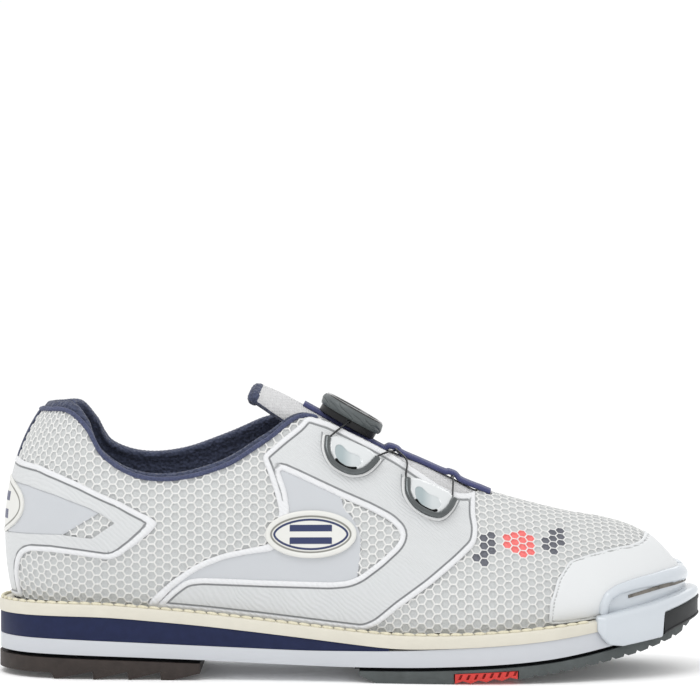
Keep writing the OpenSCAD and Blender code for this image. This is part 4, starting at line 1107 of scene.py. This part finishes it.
def mesh_parts():
    c = hex_centres(-215, 215, 22, 118)
    ut = WALL.find(c)
    p = surf(ut[:, 0], ut[:, 1])
    c_ok = np.linalg.norm(from_wall(p) - c, axis=1) < 1.3
    c, ut, p = c[c_ok], ut[c_ok], p[c_ok]
    xz = from_side(p)
    behind = xz[:, 0] < front_x(xz) + 1.5
    heel_loop = np.array(back_outline([(-145, 94.5), (-133, 90.8), (-115, 83.6), (-98, 76), (-81.8, 67), (-91.5, 57.7),
                                       (-102.5, 51.3), (-128, 54.3), (-137, 54.3), (-142.5, 49.2), (-143, 40),
                                       (-141.5, 33.2)]))
    hole = np.array([seen(BACK, x, z) for x, z in [(-124, 61.8), (-107.3, 71.3), (-100, 67), (-110, 60.2)]])
    bk = from_back(p)
    dh, inh = distance(bk, [heel_loop])
    dw, inw = distance(np.column_stack([-np.abs(bk[:, 0]), bk[:, 1]]), [hole])
    under_heel = inh & (dh > 2.0) & ~(inw | (dw < 2.5)) & (np.abs(ut[:, 0]) < 6.8)
    use = behind & ~covered(xz) & ~under_heel
    c, u = c[use], ut[use, 0]
    for name, pick, u0 in (("quarter_mesh_outer", u >= 0, 0), ("quarter_mesh_inner", u < 0, -11.6)):
        v, f, tone, _ = with_base(honeycomb(WALL, c[pick]), base_skin(u0, u0 + 11.6, 70))
        piece(add(name, v, f, M["mesh"], tone=tone), "shoe", ["quarter_mesh"])

    c = hex_centres(-10, 140, -82, 82)
    ut = TOP.find(c)
    p = surf(ut[:, 0], ut[:, 1])
    miss = np.linalg.norm(from_top(p) - c, axis=1)
    xz = from_side(p)
    ahead = xz[:, 0] > front_x(xz) - 1.5
    arch = toe_arch(CAP_LINE)
    cap = np.array([(arch[0][0] - 2, arch[0][1] - 14)] + arch
                   + [(arch[-1][0] + 2, arch[-1][1] - 14), (60, -90), (-60, -90)])
    dt, intoe = distance(from_toe(p), [cap])
    throat = (p[:, 0] < 54) & (ut[:, 1] > 0.999)
    c = c[(miss < 1.2) & ahead & ~covered(xz) & ~(intoe & (dt > 2.0)) & ~throat]

    def ink(q):
        """A plain cluster of coloured cells, the same on both sides."""
        x, y = q[0] - 73, abs(q[1]) - 33
        if abs(x) / 8.0 + abs(y) / 8.5 < 1:
            return 1
        for k in (-1, 1):
            if abs(x - 13 * k + 0.35 * y) < 3.4 and abs(y + 5 * k) < 8:
                return 2
        return 0

    v, f, tone, inks = with_base(honeycomb(TOP, c, ink), base_skin(11.4, 32.6, 130))
    o = add("vamp_mesh_knit", v, f, [M["mesh"], M["ink_red"], M["ink_dark"]], inks, tone=tone)
    piece(o, "shoe", ["vamp_mesh"])


mesh_parts()
for _s, _tag in ((-1, "lateral"), (1, "medial")):
    side_panels(_s, _tag)
    badge("side_badge_" + _tag, "side_badge_" + _tag, side_chart(_s), (-16.6, 62.4), (19.4, 10), 40, (2.6, 1.4, 18),
          lambda d, c: np.where(d > 2.5, 1.45, bead(d, 2.2, 0.5, 1.5)),
          (0.2, 0.6, 1.1, 1.6, 2.0, 2.25, 2.5, 2.75, 3.05, 3.35, 3.45, 3.9, 4.25, 4.4), (2.1, 2.75), (3.4, 4.3))
heel()
toe_cap()
toe_guard()
toe_band()


# ------------------------------------------------------------------ collar, lining and tongue
def foam(u):
    side = np.minimum(np.mod(u, RN), RN - np.mod(u, RN))
    s = np.clip((side - 7.4) / 1.9, 0, 1)
    return FOAM_T * (1 - s * s * (3 - 2 * s)) + 0.4


def tube(name, path, radius, mat, sides=10, flat=1.0, up=(0, 0, 1.0), twist=0.0, strands=0, depth=0.0,
         taper=None):
    """A round or flattened tube along a path in mm; strands gives it the lay of a twisted rope."""
    path = np.asarray(path, float)
    n = len(path)
    t = np.gradient(path, axis=0)
    t /= np.linalg.norm(t, axis=1)[:, None]
    ups = np.broadcast_to(np.asarray(up, float), path.shape)
    s = np.cross(t, ups)
    s /= np.linalg.norm(s, axis=1)[:, None]
    w = np.cross(s, t)
    length = np.r_[0, np.cumsum(np.linalg.norm(np.diff(path, axis=0), axis=1))]
    k = np.arange(sides) * 2 * math.pi / sides
    lay = twist * length[:, None]
    r = radius
    r = r * (1 - depth * np.abs(np.sin(strands / 2 * (k[None, :] + lay)))) if strands else r * np.ones((n, sides))
    if taper:
        end = np.minimum(length, length[-1] - length)[:, None]
        r = r * np.sqrt(np.clip(end / taper, 0.02, 1) * (2 - np.clip(end / taper, 0.02, 1)))
    co = path[:, None] + s[:, None] * (r * np.cos(k))[..., None] + w[:, None] * (r * flat * np.sin(k))[..., None]
    return sweep(name, co, mat)


def collar():
    """The padded collar: knit over foam, up from the mesh's edge, over the top and down inside to the foot bed."""
    uu, ll = arc_table(-9.3, 9.3, 1.0, 400)
    u = np.interp(np.linspace(ll[0], ll[-1], 620), ll, uu)
    length = np.interp(u, uu, ll)
    n = len(u)
    one = np.ones(n)
    f = foam(u)
    up = surf(u, one) - surf(u, one * 0.96)
    up /= np.linalg.norm(up, axis=1)[:, None]
    nr = normal(u, one * 0.98)
    top = surf(u, one)
    rise = 1.2 + 2.0 * np.clip(1 - np.abs(u) / 3.2, 0, 1) ** 0.7
    half = (f + MESH_T + 0.9) / 2
    mid = top - nr * (half - 0.05)[:, None] + up * (rise - 0.6)[:, None]
    rows = [off(u, one * 0.97, -MESH_T * 0.8), top - nr * 0.1 - up * 0.5]
    for k in range(15):
        a = math.pi * k / 14
        lean = math.copysign(abs(math.cos(a)) ** 0.75, math.cos(a))
        rise = np.minimum(half, 2.6) * abs(math.sin(a)) ** 0.75
        rows.append(mid + nr * (half * lean)[:, None] + up * rise[:, None])
    inner = np.r_[np.linspace(0.965, 0.62, 40), np.linspace(0.6, 0.03, 20)]
    for t in inner:
        bulge = math.sin(math.pi * min(1, (t - 0.3) / 0.75)) if t > 0.3 else 0.0
        depth = MESH_T + 0.9 + f * (0.35 + 0.65 * max(0, bulge) ** 0.7)
        rows.append(off(u, one * t, -depth))
    rows += [off(u, one * t, -MESH_T - 0.15) for t in (0.03, 0.3, 0.6, 0.9)]
    co = np.stack(rows, axis=1)
    m = co.shape[1]
    g = np.gradient(co, axis=0)
    h = np.gradient(co, axis=1)
    nn = np.cross(h, g)
    nn /= np.linalg.norm(nn, axis=2)[..., None] + 1e-9
    run = np.cumsum(np.r_[0, np.linalg.norm(np.diff(co[n // 2], axis=0), axis=1)])
    shown = np.zeros(m)
    shown[2:17 + len(inner)] = 1
    pitch = 1.9
    a = length[:, None] / pitch * math.pi
    b = run[None, :] / (pitch * 0.8) * math.pi
    bump = np.abs(np.sin(a + b * 0.5) * np.sin(b)) ** 0.8
    co = co + nn * (bump * 0.3 * shown)[..., None]
    o = sweep("collar_pad", co, M["navy_knit"])
    piece(o, "shoe", ["quarter_lining", "collar_foam"])
    u = np.interp(np.linspace(ll[0], ll[-1], 900), ll, uu)
    path = off(u, np.full(900, 0.992), 0.35)
    o = tube("collar_piping", path, 1.15, M["piping"], sides=12, twist=1.9, strands=5, depth=0.16, taper=2.0)
    piece(o, "shoe", ["collar_binding"])


TONGUE = [(68, 65.5, 8, 17), (61, 73.4, 13, 16.5), (55, 78.2, 18, 17), (50, 81, 21, 17.5), (43.8, 84.2, 24, 18),
          (30.6, 90.8, 26, 19.5), (12.3, 97.6, 27, 23), (-1.7, 105.4, 25, 25), (-19, 115.2, 21, 26), (-30, 121, 19, 25),
          (-38, 124.5, 16, 24)]
TONGUE_END = len(TONGUE) - 1


def tongue_at(v, w, d):
    """A point of the tongue: v along it, w from -1 to 1 across its arc, d above its face."""
    p = curve_at(TONGUE, v)
    q = curve_at(TONGUE, np.minimum(TONGUE_END, v + 0.1)) - curve_at(TONGUE, np.maximum(0, v - 0.1))
    t = q[:, :2]
    t = t / np.linalg.norm(t, axis=1)[:, None]
    nx, nz = t[:, 1], -t[:, 0]
    r = p[:, 3]
    a = w * p[:, 2] / r
    h = r * (np.cos(a) - 1) + d * np.cos(a)
    return np.column_stack([p[:, 0] + nx * h, (r + d) * np.sin(a) + skew(p[:, 0]), p[:, 1] + nz * h])


def tongue():
    """A padded tongue: rounded section, white knit with rows of fine dashes outside, navy inside."""
    nv, nw, lower = 240, 90, 30
    v = np.linspace(0, TONGUE_END, nv)
    rows = []
    for j in range(nw):
        w = -1 + 2 * j / (nw - 1)
        edge_drop = 2.4 * max(0, abs(w) - 0.8) / 0.2 * max(0, abs(w) - 0.8) / 0.2
        d = 0.15 - edge_drop
        dash = 0.14 * np.maximum(0, np.sin(v * 44 + (j % 2) * math.pi)) * (1 if j % 2 == 0 else 0.6)
        rows.append(tongue_at(v, np.full(nv, w), d + dash))
    for j in range(lower):
        w = 1 - 2 * j / (lower - 1)
        edge_rise = 2.0 * max(0, abs(w) - 0.75) / 0.25
        rows.append(tongue_at(v, np.full(nv, w * 0.97), -6.6 + edge_rise))
    kinds = [0 if j < nw - 1 else 1 for _ in range(nv - 1) for j in range(nw + lower)] + [1, 1]
    o = sweep("tongue_pad", np.stack(rows, axis=1), [M["white_knit"], M["navy_knit"]], kinds)
    piece(o, "shoe", ["tongue_face", "tongue_foam", "tongue_lining"])
    w = np.linspace(-1.0, 1.0, 160)
    path = tongue_at(np.full(160, TONGUE_END - 0.02), w, np.full(160, -2.6))
    path[:, 0] -= 1.2
    o = tube("tongue_roll", path, 3.1, M["navy_knit"], sides=40, flat=1.05, up=(0.5, 0, 0.85), taper=3.0)
    co = np.array([tuple(q.co) for q in o.data.vertices])
    nrm = np.array([tuple(q.normal) for q in o.data.vertices])
    k = co / MM
    bump = np.abs(np.sin(k[:, 1] / 1.5 * math.pi) * np.sin((k[:, 2] + 0.5 * k[:, 0]) / 1.3 * math.pi)) * 0.28
    co += nrm * (bump * MM)[:, None]
    o.data.vertices.foreach_set("co", co.ravel())
    o.data.update()
    piece(o, "shoe", ())


STRAP = [(-20, 117.0), (-9, 110.9), (12.3, 98.9), (15.2, 97.7), (17.2, 98.5), (20.6, 97.4), (23.0, 95.4), (30.6, 92.1),
         (41.0, 87.5), (43.2, 87.3), (46.2, 86.1), (48.4, 83.9), (52.5, 82), (57.3, 80.2), (61.5, 78.6)]


def strap():
    """Woven strap down the tongue, with two loops that the lace runs through."""
    p = evenly(through([(x, 0, z) for x, z in STRAP], 500, False), 0.45, False)
    n = len(p)
    t = np.gradient(p, axis=0)
    t /= np.linalg.norm(t, axis=1)[:, None]
    nr = np.cross(t, (0, 1, 0))
    nr[nr[:, 2] < 0] *= -1
    half, thick = 5.9, 0.8
    section = []
    for k in range(33):
        y = -half + 2 * half * k / 32
        section.append((y, thick * min(1, ((half - abs(y)) / 0.7 + 0.25)), 1))
    section += [(-y, -h, 0) for y, h, _ in section]
    rows = []
    for y, h, face in section:
        rib = 0.09 * np.abs(np.sin(np.arange(n) * 0.45 * math.pi)) * (1 if face else -1)
        rib = rib + 0.1 * abs(math.sin(y / 1.9 * math.pi)) * (1 if face else -1)
        sink = np.clip((np.arange(n) - (n - 12)) / 12, 0, 1) * 0.2
        rows.append(p + nr * (h + rib - sink - y * y / 44)[:, None] + np.array([0, y, 0]))
    co = np.stack(rows, axis=1)
    co[..., 1] += skew(co[..., 0])
    piece(sweep("tongue_strap_web", co, M["webbing"]), "shoe", ["tongue_strap"])
    for k, (x, z) in enumerate([(42.3, 86.2), (16.4, 96.9)]):
        o = tube("strap_loop_" + "ab"[k], [(x + 6.2, -5.4 + 10.8 * i / 20, z - 3.0) for i in range(21)], 0.55,
                 M["webbing"], taper=0.6)
        piece(o, "shoe", ())


# ------------------------------------------------------------------ lace guides and lace
G1 = [(-11.5, 102.5), (-11.5, 95.5), (-8, 90), (-2, 86.6), (3.5, 86), (8, 88), (12.3, 92.4), (8, 96), (-5, 102)]
G2 = [(22.5, 84.2), (22.9, 77.5), (26.3, 72.2), (32, 68.5), (37.8, 67.2), (42, 70), (45, 74.4), (42, 77.5), (28, 84)]
ARC1 = [(-10.3, 102.2), (-10.3, 96.4), (-7.4, 91), (-1.7, 87.6), (3.4, 87.1), (7.5, 88.9), (11.2, 92.6)]
ARC2 = [(23.7, 84), (24, 77.9), (27.2, 73), (32.5, 69.6), (37.4, 68.4), (41.3, 70.8), (44, 74.4)]


def spaced(points, step):
    return evenly(through(points, 200, False), step, False)


def guide(name, node, shape, arc, s):
    chart = side_chart(s)
    shape = np.array(shape, float)
    arc_s = spaced(arc, 1.0)
    mid = arc_s.mean(0)
    slot = np.array([arc_s[int(len(arc_s) * f)] * 0.66 + mid * 0.34 for f in (0.26, 0.36, 0.46, 0.56, 0.66, 0.74)])
    lens = np.array([arc_s[int((len(arc_s) - 1) * f)] * 0.62 + mid * 0.38
                     for f in (0.02, 0.15, 0.3, 0.45, 0.6, 0.75, 0.9)]
                    + [mid * 0.6 + arc_s[-1] * 0.4 + (0, 1.2), mid + (0.5, 3.4),
                       mid * 0.6 + arc_s[0] * 0.4 + (0.5, 2.4)])
    lens_loop = [np.array(rounded(lens, 1.2))]

    def height(d, c):
        h = 3.0 + 0.5 * np.clip(d / 3, 0, 1) - np.where(d < 0.4, 0.5, 0)
        sunk = distance(c, lens_loop)[1]
        h = np.where(sunk, h - 0.3, h)
        return np.where(line_distance(c, arc_s) < 1.15, 2.4, h)

    def tone(d, c):
        # The sunk lens takes a grey-blue tint, laid on more thickly toward the heel side as painted shade in its
        # hollow.
        lens_tint_and_painted_shade = np.clip((mid[0] + 4 - c[:, 0]) / 6, 0.3, 1)
        return np.where(distance(c, lens_loop)[1], lens_tint_and_painted_shade, 0.0)

    o = panel(name + "_body", [shape], chart, height, (0.15, 0.4, 0.8), M["guide"], step=0.6, grid=0.5, low=0.9, r=3.0,
              tone=tone, lines=[lens_loop[0]])
    piece(o, "shoe", [node])
    ut = chart.find(np.array([np.mean(arc, axis=0)]))
    up = tuple(normal(ut[:, 0], ut[:, 1])[0])

    def ring(scale):
        return evenly(np.array([mid + (q - mid) * scale for q in arc_s]), 0.6, False)

    for part, line, above, radius, mat, sides, flat, taper, finish in (
            # The slot's black tube is painted shadow, standing in for the dark inside the slot.
            ("_slot", spaced(slot, 0.4), 3.45, 0.62, "slot_painted_shadow", 12, 0.5, 0.6, "guide_plastic"),
            ("_tube", spaced(arc, 0.5), 3.35, 1.3, "guide_dark", 16, 0.9, 0.8, "guide_plastic"),
            ("_halo", ring(1.13), 1.25, 0.85, "halo", 10, 1.0, 1.2, "frame_white"),
            # The grey seam tube round the halo is painted shade where the halo meets the frame.
            ("_seam", ring(1.235), 0.98, 0.3, "groove", 6, 1.0, None, "frame_white")):
        o = tube(name + part, chart.lay(line, above), radius, M[mat], sides=sides, flat=flat, up=up, taper=taper)
        piece(o, "shoe", ())


def on(p, s, d):
    """The point d above the frame that shows at x, z from the side; p also holds a first guess for u."""
    x, z, g = p
    u, t = np.array([g if s < 0 else RN - g], float), np.array([0.85])
    d = OVERLAY + d
    for _ in range(8):
        q = off(u, t, d)[0]
        a = (off(u + 0.02, t, d)[0] - q) / 0.02
        b = (off(u, t + 0.005, d)[0] - q) / 0.005
        e = (x - q[0], z - q[2])
        det = a[0] * b[2] - b[0] * a[2]
        u = u + (e[0] * b[2] - b[0] * e[1]) / det
        t = np.minimum(0.99, t + (a[0] * e[1] - e[0] * a[2]) / det)
    return off(u, t, d)[0]


def at_u(g, s):
    return off(np.array([g if s < 0 else RN - g]), np.array([MESH_EDGE]), OVERLAY + 1)[0]


def dial_pt(x, y, z):
    c, s = math.cos(DIAL_TILT), math.sin(DIAL_TILT)
    return np.array([DIAL_AT[0] + x * c + z * s, y, DIAL_AT[2] - x * s + z * c])


CHANNEL_1 = [(-9.4, 99.5, 9.8), (-9.2, 97, 9.8), (-8.2, 94.3, 10), (-6.6, 91.7, 10.2), (-4.2, 90, 10.3),
             (-1.6, 88.9, 10.4), (0.8, 88.4, 10.5), (3.2, 88.4, 10.6), (5.2, 89, 10.7), (7, 90.2, 10.7),
             (8.8, 91.9, 10.7)]
CHANNEL_2 = [(24.5, 82, 11.3), (24.9, 78.5, 11.4), (26.1, 76, 11.5), (27.9, 73.9, 11.7), (30.2, 72.2, 11.9),
             (32.8, 70.8, 12.1), (35.2, 70, 12.3), (37.4, 69.8, 12.5), (39.2, 70.6, 12.5), (40.6, 72, 12.5),
             (42.4, 74.2, 12.6)]


def side_run(s, z2):
    return ([dial_pt(0, s * 8.4, 2.1), dial_pt(0, s * 15, 2), on((-9.5, 102.6, 9.7), s, 2.2)]
            + [on(p, s, 2) for p in CHANNEL_1]
            + [on((12.2, 95, 10.8), s, 1.4), at_u(10.8, s), np.array([18.3, s * 8, z2])])


def lower_run(s, zc):
    return ([np.array([20.2, s * 8, zc]), at_u(11.15, s), on((24, 87, 11.2), s, 1.6)]
            + [on(p, s, 2) for p in CHANNEL_2]
            + [on((44, 77, 12.7), s, 1.6), np.array([44.9, s * 10, 84.4]), np.array([44.9, s * 6, 85.2])])


def lace():
    pts = (side_run(-1, 96.2) + [np.array(p, float) for p in [(18.6, -4, 96.0), (19.2, 0, 95.8), (19.9, 4, 95.6)]]
           + lower_run(1, 95.7) + lower_run(-1, 96.8)[::-1]
           + [np.array(p, float) for p in [(19.9, -4, 96.7), (19.2, 0, 96.9), (18.6, 4, 97.1)]]
           + side_run(1, 97.2)[::-1])
    p = evenly(through(pts, 3000, False), 0.42, False)
    o = tube("lace_cable", p, 0.47, M["lace"], sides=12, up=(0.45, 0.12, 0.88), twist=2.4, strands=6, depth=0.22)
    piece(o, "shoe", ["lace"])


# ------------------------------------------------------------------ dial
def lathe(name, rows, mat, n=288, radius_of=None, caps=False):
    """A turned piece on the dial's axis: rows are (radius, height); radius_of adds relief by angle and height."""
    a = np.arange(n) * 2 * math.pi / n
    rows = [(radius_of(a, z, r) if radius_of else np.full(n, r), z) for r, z in rows]
    co = np.stack([dial_pt(r * np.cos(a), r * np.sin(a), z).T for r, z in rows], axis=1)
    m = len(rows)
    faces = grid_faces(n, m, True, False)
    if caps:
        faces += [tuple(i * m for i in range(n))[::-1], tuple(i * m + m - 1 for i in range(n))]
    o = weld(add(name, co.reshape(-1, 3), faces, mat))
    return crease(o, 38)


def dial():
    def ribs(a, z, r):
        """Broad S-shaped ribs round the grip."""
        if r < 14.0:
            return np.full(len(a), r)
        f = np.clip((z - 3.0) / 4.6, 0, 1)
        wave = np.sin(7 * (a + 0.3 * math.tanh(5 * (f - 0.5))))
        line = np.exp(-(np.sin(3.5 * (a + 0.3 * math.tanh(5 * (f - 0.5)))) / 0.09) ** 2)
        inside = math.sin(math.pi * min(1, max(0, 0.06 + 0.88 * f))) ** 0.5
        return r - inside * (0.3 * (0.5 + 0.5 * np.tanh(3 * wave)) + 0.35 * line)

    rows = [(13.6, 3.0), (14.1, 3.0)]
    rows += [(13.9 + 1.0 * math.sin(math.pi * min(1, max(0.02, 0.5 - abs(k / 28 - 0.5) + 0.12))), 3.05 + 4.5 * k / 28)
             for k in range(29)]
    rows += [(13.95, 7.7), (13.5, 7.75), (13.6, 3.0)]
    o = lathe("dial_grip_ring", rows, M["dial_rubber"], n=480, radius_of=ribs)
    piece(o, "knob", ["dial_grip"])
    o = lathe("dial_rim", [(12.2, 6.9), (13.7, 7.2), (13.85, 7.9), (13.6, 8.3), (13.1, 8.4), (12.5, 8.2), (12.2, 7.6)],
              M["dial_gloss"])
    piece(o, "knob", ())
    rows = [(12.1, 6.4), (12.1, 7.5), (11.6, 7.75), (9, 7.6), (6, 7.35), (3, 7.22), (0.6, 7.2)]
    o = lathe("dial_cap_disc", rows, M["dial_cap"], caps=True)
    piece(o, "knob", ["dial_cap"])


# ------------------------------------------------------------------ changeable sole and heel
SOLE_LOW = [(4, 3.2), (11, 0), (50, 0), (70, 1.9), (85, 4), (107, 8), (125, 11.6), (143, 17), (151, 22.5)]
TREAD_TOP = -1.7             # from the midsole down: gaps of 0.2 and 0.1 and two pads of 0.7


def teeth_profile(x0, x1, step, depth):
    """The sole's lower line with small saw teeth from x0 to x1."""
    pts = [p for p in SOLE_LOW if p[0] < x0]
    x = x0
    while x < x1 - step * 0.5:
        z = float(tab(SOLE_LOW, x))
        pts += [(x, z), (x + step * 0.62, float(tab(SOLE_LOW, x + step * 0.62))),
                (x + step * 0.72, float(tab(SOLE_LOW, x + step)) + depth)]
        x += step
    return pts + [(x1, float(tab(SOLE_LOW, x1)))]


def changeable_parts():
    top = lift(BASE_BOT_S, TREAD_TOP)
    low = teeth_profile(74, 151, 5.6, 0.75)
    lean = [(x, max(0, x - 50) * 0.09) for x in (45.6 + 3.3 * k for k in range(8))]
    slits = [([(x, 2.0 + r), (x + 1.1, 2.0 + r), (x + 2.0, 4.1 + r), (x + 0.9, 4.1 + r)], -90, -49.6)
             for x, r in lean]
    o = slab("outsole_plate", low, cut_x(top, 4, 151), -0.2, M["rubber_grey"], 0.35,
             cuts=[([(43.8, -1), (43.8, 4.4), (71.2, 5.8), (71.2, -1)], -90, -30)])
    piece(o, "sole", ["outsole"])
    zig = [(44.3 + 3.3 * k, (0.4 if k % 2 == 0 else 1.5) + max(0, 44.3 + 3.3 * k - 50) * 0.09) for k in range(9)]
    o = slab("traction_block", [(44.3, 4.3), (70.7, 5.6)], zig, 0.3, M["rubber_red"], 0.2, (-90, -30.2), slits)
    piece(o, "sole", ["traction_insert"])
    heel_low = [(-155, 2.8), (-128, 2.6), (-126.5, 0), (-110, 3.5), (-109.5, 0), (-95, 3.5), (-94.5, 0), (-81, 3.5),
                (-80.5, 0), (-76, 0), (-64, 3)]
    o = slab("heel_tread_block", heel_low, cut_x(top, -155, -64), 0.3, M["rubber_brown"], 0.45)
    piece(o, "heel", ["heel_tread"])


collar()
tongue()
strap()
for _s, _k in ((-1, "l"), (1, "m")):
    guide("guide_upper_" + _k, "lace_guide_1" + _k, G1, ARC1, _s)
    guide("guide_lower_" + _k, "lace_guide_2" + _k, G2, ARC2, _s)
lace()
dial()
changeable_parts()

for node, key in {"insole_board": "board", "shank": "steel", "sockliner": "lining", "heel_counter": "stiffener",
                  "toe_puff": "stiffener", "vamp_lining": "lining", "dial_base": "dial_black",
                  "dial_spool": "steel", "dial_pawls": "dial_black", "dial_core": "dial_black",
                  "sole_hook_pad": "hook", "heel_hook_pad": "hook", "sole_loop_pad": "hook",
                  "heel_loop_pad": "hook"}.items():
    paint(node, key)
